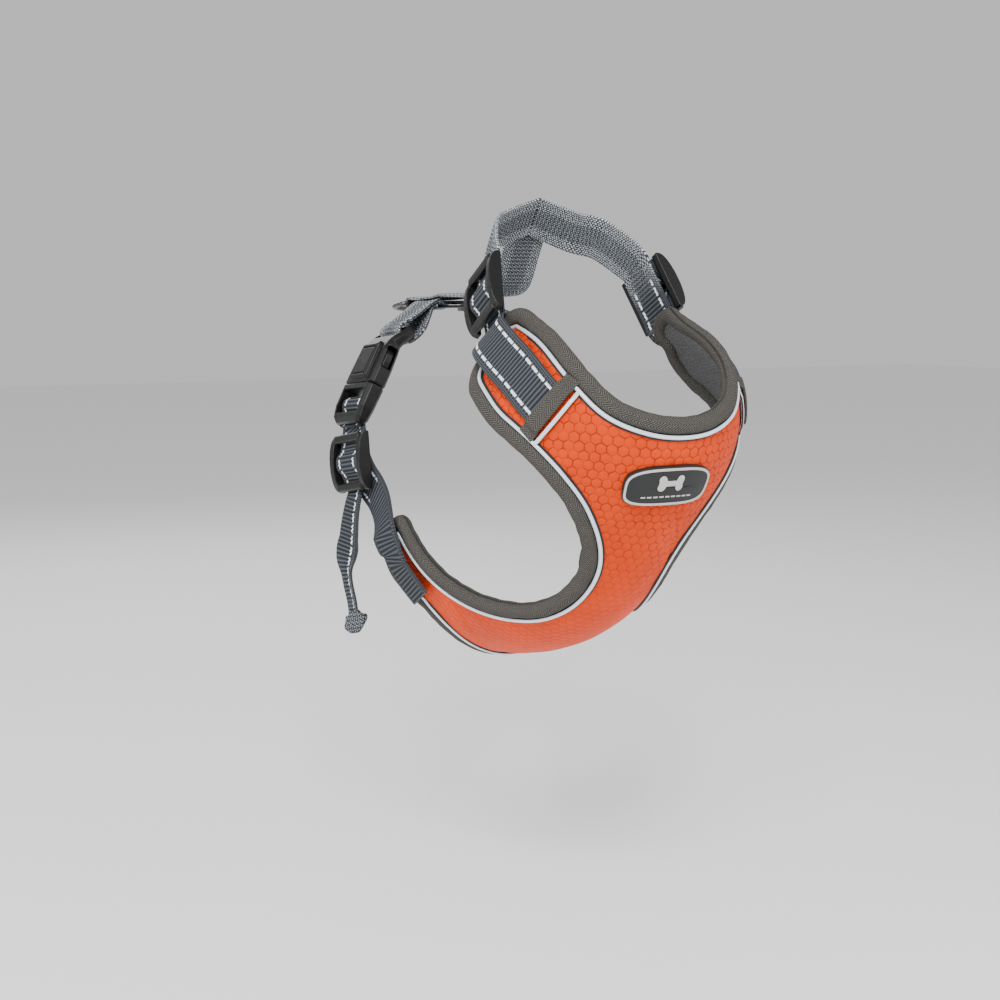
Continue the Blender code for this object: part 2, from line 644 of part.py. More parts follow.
# Girth strap: from a sewn-down end on the belly wing, up under its tri-glide, round the male half's bar.
girth_centre = np.array([-77.2, -41.0, -88.8])
girth_run = unit(np.array([-0.01, -0.17, -0.98]))
girth_wide = unit(np.cross(outward(girth_centre), girth_run))
girth_out = np.cross(girth_run, girth_wide)
BUCKLE_LOOP = [(25.2, -2.5), (22.0, -2.4), (19.2, -2.2), (17.4, -1.0), (15.2, 1.0), (13.2, 2.0), (11.3, 2.3),
               (9.4, 1.9), (8.2, 0.7), (7.9, -0.8), (8.4, -2.3), (9.8, -3.3), (11.3, -3.5), (13.6, -3.8),
               (16.4, -4.3), (19.6, -4.6), (24.8, -4.8)]
loop_up = [on_buckle([(a, 0.0, h)])[0] for a, h in BUCKLE_LOOP]
WING_STRAP = [(188.6, -52.9, 1.3), (177.4, -58.2, 1.3), (164.1, -63.4, 1.8), (149, -65.4, 3.6), (135.4, -65.2, 6.8),
              (125.6, -63.5, 9.6), (120.2, -61.2, 10.3), (115.8, -59, 10.2), (111.6, -56.6, 10.0), (107, -52.8, 9.7),
              (102, -48.8, 9.5), (97.5, -44.8, 9.3), (94.2, -41.2, 9.3)]
wing_down = [skin(*w) for w in WING_STRAP]
girth_path = curve(loop_up + wing_down, 64)
girth_tan = unit(np.gradient(girth_path, axis=0))
loop_count = int(np.argmin(np.linalg.norm(girth_path - wing_down[0], axis=1)))
girth_up = []
flat_up = outward(girth_path)
for k, (p, t) in enumerate(zip(girth_path, girth_tan)):
    if k <= loop_count:
        share = min(1.0, max(0.0, (k - loop_count * 0.72) / (loop_count * 0.28)))
        wide = unit(buckle_wide * (1 - share) + girth_wide * share)
        girth_up.append(np.cross(t, wide))
    else:
        girth_up.append(flat_up[k])
both_sides("girth_strap", *swept(girth_path, band_section(WEB_WIDTH, WEB_THICK), np.array(girth_up)), WEBBING)
tri_glide("girth_glide", girth_centre, girth_run, girth_wide, girth_out)

# The strap's spare end hangs from the tri-glide, drawn narrow near the bottom, folded and sewn.
tail_root = placed([(half + 3.0, 0.0, BAND_LOW + 1.4)], girth_centre, girth_run, girth_wide, girth_out)[0]
TAIL_DROP = [(0.0, 0.0, 0.0), (-1.4, 0.2, -6.0), (-2.6, 0.5, -14.0), (-3.6, 1.2, -26.0), (-4.8, 2.2, -38.0),
             (-4.0, 1.6, -50.0), (-2.4, 0.2, -60.0), (-1.8, -0.6, -66.0)]
TAIL_WIDTHS = [(0.0, 14.5), (0.2, 17.5), (0.42, 20.0), (0.58, 12.5), (0.68, 5.8), (1.0, 5.2)]
TAIL_THICKS = [(0.0, 2.0), (0.45, 2.2), (0.7, 3.6), (1.0, 3.6)]
tail_path = curve([tail_root + np.array(d) for d in TAIL_DROP], 20)
tail_turn = np.radians(np.interp(np.linspace(0, 1, 20), [0, 0.4, 0.7, 1.0], [0, 0, -38, -40]))
tail_run = unit(np.gradient(tail_path, axis=0))
tail_rings = []
for k, (p, t) in enumerate(zip(tail_path, tail_run)):
    w = unit(girth_wide - t * np.dot(girth_wide, t))
    n = np.cross(t, w)
    w2 = w * math.cos(tail_turn[k]) + n * math.sin(tail_turn[k])
    n2 = np.cross(t, w2)
    wide_here = np.interp(k / 19, *zip(*TAIL_WIDTHS))
    thick_here = np.interp(k / 19, *zip(*TAIL_THICKS))
    tail_rings.append([p + w2 * a + n2 * b for a, b in band_section(wide_here, thick_here)])
both_sides("strap_tail", *loft(tail_rings), WEBBING, tail_root)
end_run = unit(tail_path[-1] - tail_path[-2])
end_wide = unit(w2 - end_run * np.dot(w2, end_run))
end_out = np.cross(end_run, end_wide)
TAB = [(0.4, 2.8, 2.0), (3.0, 4.8, 2.7), (7.5, 6.3, 3.0), (11.0, 5.6, 2.7), (13.2, 3.2, 1.9)]
tab_rings = []
for a, w, t in TAB:
    tab_rings.append([tail_path[-1] + end_run * a + end_wide * y + end_out * z for y, z in rounded(w, t, t * 0.5)])
both_sides("tail_end_tab", *loft(tab_rings), WEBBING, tail_root)

# ---------------------------------------------------------------- back: webbing loops, backing pad, ring
PAD = [(-22.0, 6.5), (-12.0, 9.5), (0.0, 10.5), (11.0, 9.5), (17.0, 7.0)]
pad_rings = []
for y, w in PAD:
    ring = []
    for a, b in rounded(w, 0.5, 0.25):
        base = np.array([a, y + 4.0, 0.0])
        drop = -(a * a) / 95.0 - max(0.0, y) ** 2 / 420.0
        ring.append(base + np.array([0.0, 0.0, 0.5 + drop + b]))
    pad_rings.append(ring)
solid("back_pad", *loft(pad_rings), BLACK_PLASTIC)

# Each side loop leaves the junction, rounds the female half's bar and comes back beneath itself.
BAR_AT = reach + 2.7
BAR_HIGH = -1.2 + bt - 2.4 + 0.8 + WEB_THICK
LOOP_LOCAL = [(BAR_AT - 8.0, BAR_HIGH - 0.6), (BAR_AT, BAR_HIGH), (BAR_AT + 3.4, BAR_HIGH - 0.9), (BAR_AT + 5.1, -1.2),
              (BAR_AT + 3.4, -2.4 - BAR_HIGH + 0.9), (BAR_AT, -2.4 - BAR_HIGH), (BAR_AT - 8.0, -2.4 - BAR_HIGH + 0.4)]
loop_points = [np.array([-1.2, 0.0, 2.5]), np.array([-8.0, -0.2, 2.4]), np.array([-16.0, -3.6, 1.6])]
loop_points += [on_buckle([q])[0] for q in bent([(a, 0.0, h) for a, h in LOOP_LOCAL])]
loop_points += [np.array([-18.0, -4.0, -2.6]), np.array([-13.5, -2.4, -1.3])]
loop_path = curve(loop_points, 36)
loop_tan = unit(np.gradient(loop_path, axis=0))
loop_wide = []
for p in loop_path:
    share = min(1.0, max(0.0, (-p[0] - 6.0) / 18.0))
    loop_wide.append(unit(np.array([0.0, -1.0, 0.0]) * (1 - share) + buckle_wide * share * np.sign(-buckle_wide[1])))
both_sides("back_loop", *swept(loop_path, band_section(WEB_WIDTH, WEB_THICK),
                               np.cross(loop_tan, np.array(loop_wide))), WEBBING)

# Spine strap: over the neck straps at the nape, along the back, over the loops, round the ring's bar.
ring_bar = np.array([0.0, 27.0, 1.9])
wrap = RING_WIRE / 2 + 0.7 + WEB_THICK / 2
SPINE = [(-84.5, 4.6), (-89, 4.5), (-95, 3.8), (-102, 2.2), (-110, 1.6), (-118, 1.8), (-124, 3.0)]
spine_points = [skin(a, 0.0, lift) for a, lift in SPINE]
spine_points += [np.array([0.0, y, z]) for y, z in ((-15.0, 7.0), (-6.0, 5.8), (8.0, 5.0), (17.0, 4.8))]
spine_points += [ring_bar + wrap * np.array([0.0, math.cos(t), math.sin(t)]) for t in np.radians([80, 40, 0, -45, -90])]
spine_points += [ring_bar + np.array([0.0, -3.4, -wrap + 0.3]), ring_bar + np.array([0.0, -5.4, -wrap + 0.8])]
spine_path = curve(spine_points, 52)
spine_tan = unit(np.gradient(spine_path, axis=0))
solid("spine_strap", *swept(spine_path, band_section(WEB_WIDTH, WEB_THICK),
                            np.cross(spine_tan, np.array([1.0, 0.0, 0.0]))), WEBBING)

# D-ring: straight bar held in the strap's fold, bow lying back along the spine.
RING_LEAN = -9.0
hw = RING_INSIDE / 2 + RING_WIRE / 2
bow = [(-hw + 3.0, 0.0), (-hw, 1.6), (-hw, 7.5)]
for t in np.linspace(180, 0, 15):
    bow.append((hw * math.cos(math.radians(t)), 9.0 + 13.0 * math.sin(math.radians(t))))
bow += [(hw, 7.5), (hw, 1.6), (hw - 3.0, 0.0)]
line = [(x, 0.0) for x in np.linspace(hw - 5.0, -hw + 5.0, 6)]
lean = math.radians(RING_LEAN)
ring_path = np.array([ring_bar + np.array([x, y * math.cos(lean), y * math.sin(lean)]) for x, y in bow + line])
ring_nrm = np.array([0.0, -math.sin(lean), math.cos(lean)])
tan = unit(np.roll(ring_path, -1, axis=0) - np.roll(ring_path, 1, axis=0))
side = np.cross(ring_nrm, tan)
rings = [[p + s_ * u + ring_nrm * v for u, v in ring_section(RING_WIRE / 2, 8)] for p, s_ in zip(ring_path, side)]
solid("d_ring", *loft(rings, closed=True), STEEL, ring_bar)
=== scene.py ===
import math

import bmesh
import bpy
import numpy as np
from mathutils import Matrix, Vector
from mathutils import noise


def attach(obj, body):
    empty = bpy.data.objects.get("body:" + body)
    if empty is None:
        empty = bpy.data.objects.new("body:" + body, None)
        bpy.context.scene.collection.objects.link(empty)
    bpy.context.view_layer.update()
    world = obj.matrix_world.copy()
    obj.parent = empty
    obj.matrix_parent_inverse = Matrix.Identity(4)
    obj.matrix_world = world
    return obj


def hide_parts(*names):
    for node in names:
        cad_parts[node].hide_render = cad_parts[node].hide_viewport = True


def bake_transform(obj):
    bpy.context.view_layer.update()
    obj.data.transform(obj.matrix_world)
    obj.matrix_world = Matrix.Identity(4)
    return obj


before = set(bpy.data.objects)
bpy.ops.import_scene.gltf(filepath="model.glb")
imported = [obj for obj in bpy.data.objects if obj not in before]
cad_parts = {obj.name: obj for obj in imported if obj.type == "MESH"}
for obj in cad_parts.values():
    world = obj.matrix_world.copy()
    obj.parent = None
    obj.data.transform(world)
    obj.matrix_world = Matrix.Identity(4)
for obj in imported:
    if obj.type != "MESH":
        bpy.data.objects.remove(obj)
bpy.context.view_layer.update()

# ---------------------------------------------------------------- studio
# A pale floor where the dog's feet would stand, one big soft light ahead of the chest, a fill and a
# back light. The camera looks at the dog's right shoulder from a little above its back.
CAMERA_PLACE = (-0.4591, -0.8982, 0.004)
CAMERA_HEADING = 29.0
CAMERA_DIP = 6.995
FLOOR_HEIGHT = -0.352

camera = bpy.data.objects.new("camera", bpy.data.cameras.new("camera"))
camera.data.lens = 58.68
camera.data.sensor_width = 36.0
camera.data.clip_start = 0.02
heading, dip = math.radians(CAMERA_HEADING), math.radians(CAMERA_DIP)
ahead = Vector((math.sin(heading) * math.cos(dip), math.cos(heading) * math.cos(dip), -math.sin(dip)))
camera.location = CAMERA_PLACE
camera.rotation_euler = ahead.to_track_quat("-Z", "Y").to_euler()
bpy.context.collection.objects.link(camera)
bpy.context.scene.camera = camera

floor_mesh = bpy.data.meshes.new("floor")
floor_mesh.from_pydata([(-6, -6, FLOOR_HEIGHT), (6, -6, FLOOR_HEIGHT), (6, 6, FLOOR_HEIGHT),
                        (-6, 6, FLOOR_HEIGHT)],
                       [], [(0, 1, 2, 3)])
floor = bpy.data.objects.new("floor", floor_mesh)
bpy.context.collection.objects.link(floor)
floor_paint = bpy.data.materials.new("floor_paint")
floor_paint.use_nodes = True
floor_shader = floor_paint.node_tree.nodes["Principled BSDF"]
floor_shader.inputs["Base Color"].default_value = (0.92, 0.92, 0.92, 1)
floor_shader.inputs["Roughness"].default_value = 0.9
floor_mesh.materials.append(floor_paint)

world = bpy.data.worlds.new("studio")
world.use_nodes = True
world.node_tree.nodes["Background"].inputs["Color"].default_value = (1.0, 1.0, 1.0, 1)
world.node_tree.nodes["Background"].inputs["Strength"].default_value = 0.65
bpy.context.scene.world = world

for name, place, aim, size, power in (
        ("key", (-0.75, -1.25, 0.95), (0, -0.12, -0.08), 0.6, 34.0),
        ("fill", (0.9, -1.1, 0.35), (0, -0.12, -0.08), 0.9, 8.0),
        ("side", (-1.3, 0.1, 0.35), (-0.05, -0.05, -0.06), 0.6, 7.0),
        ("back", (0.2, 1.3, 0.8), (0, 0.0, -0.05), 0.8, 8.0)):
    lamp = bpy.data.objects.new(name, bpy.data.lights.new(name, "AREA"))
    lamp.data.size = size
    lamp.data.energy = power
    lamp.location = place
    lamp.rotation_euler = (Vector(aim) - Vector(place)).to_track_quat("-Z", "Y").to_euler()
    bpy.context.collection.objects.link(lamp)

# ---------------------------------------------------------------- lining of the chest panel
# Dark grey air mesh, a knitted spacer cloth about two millimetres thick with open diamond cells. It is
# cut to the panel's shape, lies against the dog, and is held all round by the edge binding.
MM = 0.001
CHEST_FORM = ((0.0, -54.0, -96.0), (78.0, 166.0, 101.0), 0.0)
FORECHEST_FORM = ((0.0, -157.0, -73.0), (72.0, 65.0, 100.0), 62.0)
NECK_FORM = ((0.0, -158.0, 14.0), (45.0, 59.0, 101.0), 33.0)
FORM_BLEND = 0.16
FORM_CENTRE = np.array([0.0, -95.0, -95.0])
BACK_TAPER = 0.9
ELBOW_TAPER = 0.09
LINING_BASE = 0.9
LINING_THICK = 1.6
LINING_HOLE_SHADE = (0.018, 0.0185, 0.02, 1)
LINING_GREY = (0.05, 0.051, 0.054, 1)
AIR_CELL = 2.4


def form(p):
    """Signed size of the dog's blended body at points p, in millimetres: below zero inside."""
    total = 0.0
    for k, (centre, radii, lean) in enumerate((CHEST_FORM, FORECHEST_FORM, NECK_FORM)):
        q = p - np.array(centre)
        a = math.radians(lean)
        y = q[..., 1] * math.cos(a) + q[..., 2] * math.sin(a)
        z = -q[..., 1] * math.sin(a) + q[..., 2] * math.cos(a)
        rx = radii[0]
        if k == 0:
            rx = rx * (1.0 - BACK_TAPER * np.clip(z / radii[2], 0.0, 1.0) ** 3)
            rx = rx * (1.0 - ELBOW_TAPER * np.clip((-20.0 - p[..., 1]) / 60.0, 0.0, 1.0))
        s = np.sqrt((q[..., 0] / rx) ** 2 + (y / radii[1]) ** 2 + (z / radii[2]) ** 2)
        total = total + np.exp(-FORM_BLEND * (s - 1.0) * min(radii))
    return -np.log(total) / FORM_BLEND


def outward(p):
    """Unit direction away from the body at points p."""
    g = np.stack([form(p + e) - form(p - e) for e in np.eye(3) * 0.5], axis=-1)
    return g / np.linalg.norm(g, axis=-1, keepdims=True)


def skin(around, side, lift=0.0):
    """Point over the body: around is 0 ahead, 90 below, 180 behind; side is 0 on the midline."""
    a = np.radians(np.asarray(around, float))
    b = np.radians(np.asarray(side, float))
    d = np.stack([np.sin(b), -np.cos(b) * np.cos(a), -np.cos(b) * np.sin(a)], axis=-1)
    low = np.full(d.shape[:-1], 5.0)
    high = np.full(d.shape[:-1], 400.0)
    for _ in range(30):
        mid = (low + high) / 2.0
        inside = form(FORM_CENTRE + d * mid[..., None]) < 0.0
        low = np.where(inside, mid, low)
        high = np.where(inside, high, mid)
    p = FORM_CENTRE + d * ((low + high) / 2.0)[..., None]
    return p + outward(p) * np.asarray(lift)[..., None]


def unit(v):
    return v / np.linalg.norm(v, axis=-1, keepdims=True)


def curve(points, count, closed=False):
    """Smooth line through the points, cut at equal steps of its length."""
    p = np.asarray(points, float)
    if closed:
        ends = np.vstack([p[-1], p, p[:2]])
    else:
        ends = np.vstack([2 * p[0] - p[1], p, 2 * p[-1] - p[-2]])
    rows = []
    for i in range(1, len(ends) - 2):
        p0, p1, p2, p3 = ends[i - 1: i + 3]
        t = np.linspace(0, 1, 40, endpoint=False)[:, None]
        rows.append(0.5 * (2 * p1 + (p2 - p0) * t + (2 * p0 - 5 * p1 + 4 * p2 - p3) * t ** 2
                           + (3 * p1 - p0 - 3 * p2 + p3) * t ** 3))
    fine = np.vstack(rows + [ends[-2:-1]])
    along = length_along(fine)
    want = np.linspace(0, along[-1], count)
    return np.stack([np.interp(want, along, fine[:, k]) for k in range(p.shape[1])], axis=-1)


def length_along(path):
    return np.concatenate([[0], np.cumsum(np.linalg.norm(np.diff(path, axis=0), axis=1))])


# The panel's cut edges, right half, as (around, side) stations on the body.
ARMHOLE = [(-46.5, -27.5), (-44.6, -31), (-41, -34.2), (-36, -35.8), (-29, -34.8), (-21.5, -32.3),
           (-13.5, -27),
           (-6, -21.6), (1.2, -16.9), (10.8, -12.6), (19.5, -11.4), (30, -13.2), (39.9, -17.5), (48, -23.5),
           (57, -31.5), (67, -41), (79, -51.5), (91, -60.5), (102, -66.5), (111, -69), (118.5, -68),
           (123, -63.5),
           (124, -57.5)]
NECKLINE = [(-46.5, -27.5), (-49.6, -25), (-50.8, -22.3), (-48.8, -20), (-45, -19.2), (-38.5, -18.6),
            (-29.3, -17.3), (-22.8, -15.1), (-18.0, -11.7), (-15.0, -6.1), (-14.1, 0)]
REAR_EDGE = [(97, 0), (97, -9), (97, -18), (98, -27), (102, -35.2), (110, -39.8), (118.5, -43.8), (124, -50),
             (124, -57.5)]


def panel_sheet(fineness, columns, height):
    """The whole panel as one sheet: its points, its faces, and how far each point lies from an edge."""
    n_neck, n_mid, n_rear = 17 * fineness, 13 * fineness, 15 * fineness
    outer = curve(ARMHOLE, n_neck + n_mid + n_rear)
    middle = curve([(NECKLINE[-1][0], 0), (40, 0), (REAR_EDGE[0][0], 0)], n_mid + 2)[1:-1]
    inner = np.vstack([curve(NECKLINE, n_neck), middle, curve(REAR_EDGE, n_rear)])
    t = np.linspace(0, 1, columns)
    half = outer[:, None] + (inner - outer)[:, None] * t[None, :, None]
    flat = skin(half[..., 0], half[..., 1])
    step = np.linalg.norm(np.diff(flat, axis=1), axis=2)
    from_outer = np.concatenate([np.zeros((len(half), 1)), np.cumsum(step, axis=1)], axis=1)
    from_inner = from_outer[:, -1:] - from_outer
    from_inner[n_neck:n_neck + n_mid] += 1000.0
    # near the neck and belly edges the middle rows also lie close to an edge
    row_step = np.linalg.norm(np.diff(flat, axis=0), axis=2)
    down = np.concatenate([np.zeros((1, columns)), np.cumsum(row_step, axis=0)], axis=0)
    from_neck = np.abs(down - down[n_neck - 1])
    from_belly = np.abs(down[n_neck + n_mid] - down)
    rows_mid = slice(n_neck, n_neck + n_mid)
    edge = np.minimum(from_outer, from_inner)
    edge[rows_mid] = np.minimum(edge[rows_mid], np.minimum(from_neck, from_belly)[rows_mid])
    points = skin(half[..., 0], half[..., 1], height(edge, flat))
    rows, cols = edge.shape
    at = np.arange(rows * cols).reshape(rows, cols)
    quads = np.stack([at[:-1, :-1], at[1:, :-1], at[1:, 1:], at[:-1, 1:]], axis=-1).reshape(-1, 4)
    right = points.reshape(-1, 3)
    left = right * np.array([-1.0, 1.0, 1.0])
    faces = np.vstack([quads, quads[:, ::-1] + len(right)])
    return np.vstack([right, left]), faces, np.tile(half.reshape(-1, 2), (2, 1))


def make(name, points, faces, lay=None, look=None, angle=60.0):
    """A mesh object from millimetre points; lay is each point's place on its cloth, in millimetres."""
    mesh = bpy.data.meshes.new(name)
    mesh.from_pydata((np.asarray(points, float) * MM).tolist(), [], np.asarray(faces).tolist()
                     if isinstance(faces, np.ndarray) else [list(f) for f in faces])
    if lay is not None:
        held = mesh.attributes.new("lay", "FLOAT_VECTOR", "POINT")
        held.data.foreach_set("vector", np.asarray(lay, np.float32).ravel())
    ob = bpy.data.objects.new(name, mesh)
    bpy.context.collection.objects.link(ob)
    if look is not None:
        mesh.materials.append(look)
    mesh.shade_smooth()
    mesh.set_sharp_from_angle(angle=math.radians(angle))
    return ob


def bake_modifiers(ob):
    """Applies the object's modifiers to its mesh."""
    done = bpy.data.meshes.new_from_object(ob.evaluated_get(bpy.context.evaluated_depsgraph_get()))
    ob.modifiers.clear()
    old = ob.data
    ob.data = done
    bpy.data.meshes.remove(old)
    done.name = ob.name
    return ob


def weld_and_thicken(ob, gap, thick, inward=-1.0):
    """Joins the two halves of a sheet along the midline and gives it its thickness."""
    work = bmesh.new()
    work.from_mesh(ob.data)
    bmesh.ops.remove_doubles(work, verts=work.verts, dist=gap * MM)
    bmesh.ops.recalc_face_normals(work, faces=work.faces)
    work.faces.ensure_lookup_table()
    highest = max(work.faces, key=lambda f: -f.calc_center_median().y)
    if highest.normal.y > 0:
        bmesh.ops.reverse_faces(work, faces=work.faces)
    work.to_mesh(ob.data)
    work.free()
    ob.data.shade_smooth()
    if thick:
        shell = ob.modifiers.new("thickness", "SOLIDIFY")
        shell.thickness = thick * MM
        shell.offset = inward
        bake_modifiers(ob)
    return ob


class Tone:
    """A socket of a finish. Sums and products of tones add their own Math nodes."""

    def __init__(self, socket):
        self.socket = socket

    def node(self, kind, settings, inputs, out=0):
        """Any node: its settings first, then the values or links of its sockets."""
        tree = self.socket.id_data
        made = tree.nodes.new(kind)
        for key, value in settings.items():
            if key == "stops":
                ramp = made.color_ramp.elements
                while len(ramp) < len(value):
                    ramp.new(0.5)
                for stop, (place, colour) in zip(ramp, value):
                    stop.position = place
                    stop.color = colour
            else:
                setattr(made, key, value)
        for key, value in inputs.items():
            if isinstance(value, Tone):
                tree.links.new(value.socket, made.inputs[key])
            else:
                made.inputs[key].default_value = value
        return Tone(made.outputs[out])

    def math(self, operation, *others):
        return self.node("ShaderNodeMath", {"operation": operation}, dict(enumerate([self, *others])))

    def __add__(self, other):
        return self.math("ADD", other)

    def __mul__(self, other):
        return self.math("MULTIPLY", other)

    def __sub__(self, other):
        return self.math("SUBTRACT", other)

    def __rsub__(self, other):
        return self.node("ShaderNodeMath", {"operation": "SUBTRACT"}, {0: other, 1: self})

    __radd__ = __add__
    __rmul__ = __mul__

    def size(self):
        return self.math("ABSOLUTE")

    def least(self, other):
        return self.math("MINIMUM", other)

    def most(self, other):
        return self.math("MAXIMUM", other)

    def step(self, low, high):
        """0 below low, 1 above high, eased between; swap the two for the other way round."""
        return self.node("ShaderNodeMapRange", {"interpolation_type": "SMOOTHSTEP"},
                         {0: self, 1: low, 2: high, 3: 0.0, 4: 1.0})

    def wave(self, period, shift=0.0):
        """A smooth wave from 0 to 1."""
        return (self * (2 * math.pi / period) + shift).math("COSINE") * 0.5 + 0.5

    def zigzag(self, period):
        """Up and down from 0 to half the period."""
        return self.math("PINGPONG", period / 2)

    def part(self):
        return self.math("FRACT")

    def blend(self, one, other):
        """Colour one where the tone is 0 and the other where it is 1."""
        return self.node("ShaderNodeMix", {"data_type": "RGBA"}, {0: self, 6: one, 7: other}, 2)


class Finish:
    """A material: values that are the same all over, and the cloth's lay as three tones."""

    def __init__(self, name, **fixed):
        self.look = bpy.data.materials.new(name)
        self.look.use_nodes = True
        self.shader = self.look.node_tree.nodes["Principled BSDF"]
        for key, value in fixed.items():
            self.shader.inputs[key.replace("_", " ")].default_value = value
        held = self.look.node_tree.nodes.new("ShaderNodeAttribute")
        held.attribute_name = "lay"
        self.lay = Tone(held.outputs["Vector"])
        parts = self.lay.node("ShaderNodeSeparateXYZ", {}, {0: self.lay})
        split = parts.socket.node
        self.along, self.across, self.third = (Tone(split.outputs[k]) for k in range(3))
        place = self.look.node_tree.nodes.new("ShaderNodeNewGeometry")
        self.place = Tone(place.outputs["Position"])

    def noise(self, scale, detail=3.0, vector=None, rough=0.5):
        """Cloudy tone; scale is in features a metre, or a millimetre when given the lay."""
        return self.place.node("ShaderNodeTexNoise", {}, {"Vector": vector or self.place, "Scale": scale,
                                                          "Detail": detail, "Roughness": rough})

    def feed(self, **tones):
        """Links tones into the shader by socket name; height is in millimetres and goes through a bump."""
        links = self.look.node_tree.links
        for key, tone in tones.items():
            if key == "height":
                tone = tone.node("ShaderNodeBump", {}, {"Strength": 1.0, "Distance": MM, "Height": tone})
                key = "Normal"
            links.new(tone.socket, self.shader.inputs[key.replace("_", " ")])
        return self.look


def unfold(ob):
    """Lays a sheet out flat, front middle upright, and stores the places as the lay in millimetres."""
    bpy.context.view_layer.objects.active = ob
    ob.select_set(True)
    bpy.ops.object.mode_set(mode="EDIT")
    bpy.ops.mesh.select_all(action="SELECT")
    ob.data.uv_layers.new(name="cut")
    bpy.ops.uv.unwrap(method="MINIMUM_STRETCH", margin=0.0, iterations=30)
    bpy.ops.object.mode_set(mode="OBJECT")
    ob.select_set(False)
    mesh = ob.data
    flat = np.zeros(len(mesh.loops) * 2)
    mesh.uv_layers["cut"].uv.foreach_get("vector", flat)
    flat = flat.reshape(-1, 2)
    corner = np.zeros(len(mesh.loops), int)
    mesh.loops.foreach_get("vertex_index", corner)
    place = np.zeros((len(mesh.vertices), 2))
    place[corner] = flat
    solid = np.zeros(len(mesh.vertices) * 3)
    mesh.vertices.foreach_get("co", solid)
    solid = solid.reshape(-1, 3)
    ends = np.array([e.vertices[:] for e in mesh.edges])
    real = np.linalg.norm(solid[ends[:, 0]] - solid[ends[:, 1]], axis=1).sum() / MM
    drawn = np.linalg.norm(place[ends[:, 0]] - place[ends[:, 1]], axis=1).sum()
    place = place * (real / drawn)
    middle = np.abs(solid[:, 0]) < 0.0005
    high = middle & (solid[:, 2] > np.percentile(solid[middle, 2], 70))
    low = middle & (solid[:, 2] < np.percentile(solid[middle, 2], 30))
    up = unit(place[high].mean(0) - place[low].mean(0))
    place = place - place[np.argmax(np.where(middle, solid[:, 2], -9.0))]
    place = np.stack([place @ np.array([up[1], -up[0]]), place @ up], axis=-1)
    mesh.uv_layers.remove(mesh.uv_layers["cut"])
    held = mesh.attributes.new("lay", "FLOAT_VECTOR", "POINT")
    held.data.foreach_set("vector", np.column_stack([place, np.zeros(len(place))]).astype(np.float32).ravel())
    return float(sum(f.area for f in mesh.polygons)), np.ptp(place, axis=0) * MM


points, faces, _ = panel_sheet(2, 22, lambda edge, p: np.full(edge.shape, LINING_BASE + LINING_THICK))
lining = make("panel_lining", points, faces)
weld_and_thicken(lining, 0.02, 0.0)
unfold(lining)
weld_and_thicken(lining, 0.02, LINING_THICK)
air = Finish("air_mesh", Roughness=0.85, Sheen_Weight=0.3, Sheen_Roughness=0.5)
cell_a = (air.along + air.across * 0.6).wave(AIR_CELL)
cell_b = (air.along - air.across * 0.6).wave(AIR_CELL)
# the open cells are painted near black: painted shade inside the holes, over a bump that sinks them
hole = (cell_a * cell_b).step(0.25, 0.6)
knit = air.along.wave(0.6) * air.across.wave(0.7)
lining.data.materials.append(air.feed(
    Base_Color=hole.blend(LINING_GREY, LINING_HOLE_SHADE), height=hole * -0.5 + knit * 0.12))
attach(lining, "harness")
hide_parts("chest_panel_lining")

# ---------------------------------------------------------------- face cloth of the chest panel
# Bright orange coated polyester, embossed all over with small hexagons. It is cut in one piece, two arms
# up to the shoulders and two wings under the belly, and sewn over the padding, so it crowns a little.
FABRIC_TOP = 4.0
FABRIC_THICK = 0.9
CROWN = 0.45
ORANGE = (0.60, 0.042, 0.0002, 1)
ORANGE_GROOVE_SHADE = (0.24, 0.009, 0.0001, 1)
ORANGE_LIGHT = (0.72, 0.052, 0.0004, 1)
HEX = 4.7


def fabric_height(edge, p):
    """Crowned between the seams, with shallow folds."""
    crown = CROWN * np.clip((edge - 6.0) / 16.0, 0.0, 1.0) ** 0.7
    folds = np.array([noise.noise(Vector(q) / 17.0) + 0.45
                      * noise.noise(Vector(q) / 7.0) for q in p.reshape(-1, 3)])
    folds = folds.reshape(edge.shape) * 0.3
    return FABRIC_TOP + crown + folds * np.clip((edge - 4.0) / 8.0, 0.0, 1.0)


points, faces, _ = panel_sheet(5, 44, fabric_height)
fabric = make("panel_face", points, faces)
weld_and_thicken(fabric, 0.02, 0.0)
fabric_area, fabric_flat = unfold(fabric)
weld_and_thicken(fabric, 0.02, FABRIC_THICK)

cloth = Finish("hexagon_cloth", Roughness=0.6, Specular_IOR_Level=0.12)


def hexagons(finish, size):
    """How far each spot is from the middle of its hexagon: 0 in the middle, 0.5 on the line between."""
    row = size * math.sqrt(3)
    found = None
    for shift in (0.0, 0.5):
        x = ((finish.along * (1 / size) + shift).part() - 0.5).size()
        y = ((finish.across * (1 / row) + shift).part() - 0.5).size() * math.sqrt(3)
        away = x.most(x * 0.5 + y * (math.sqrt(3) / 2))
        found = away if found is None else found.least(away)
    return found


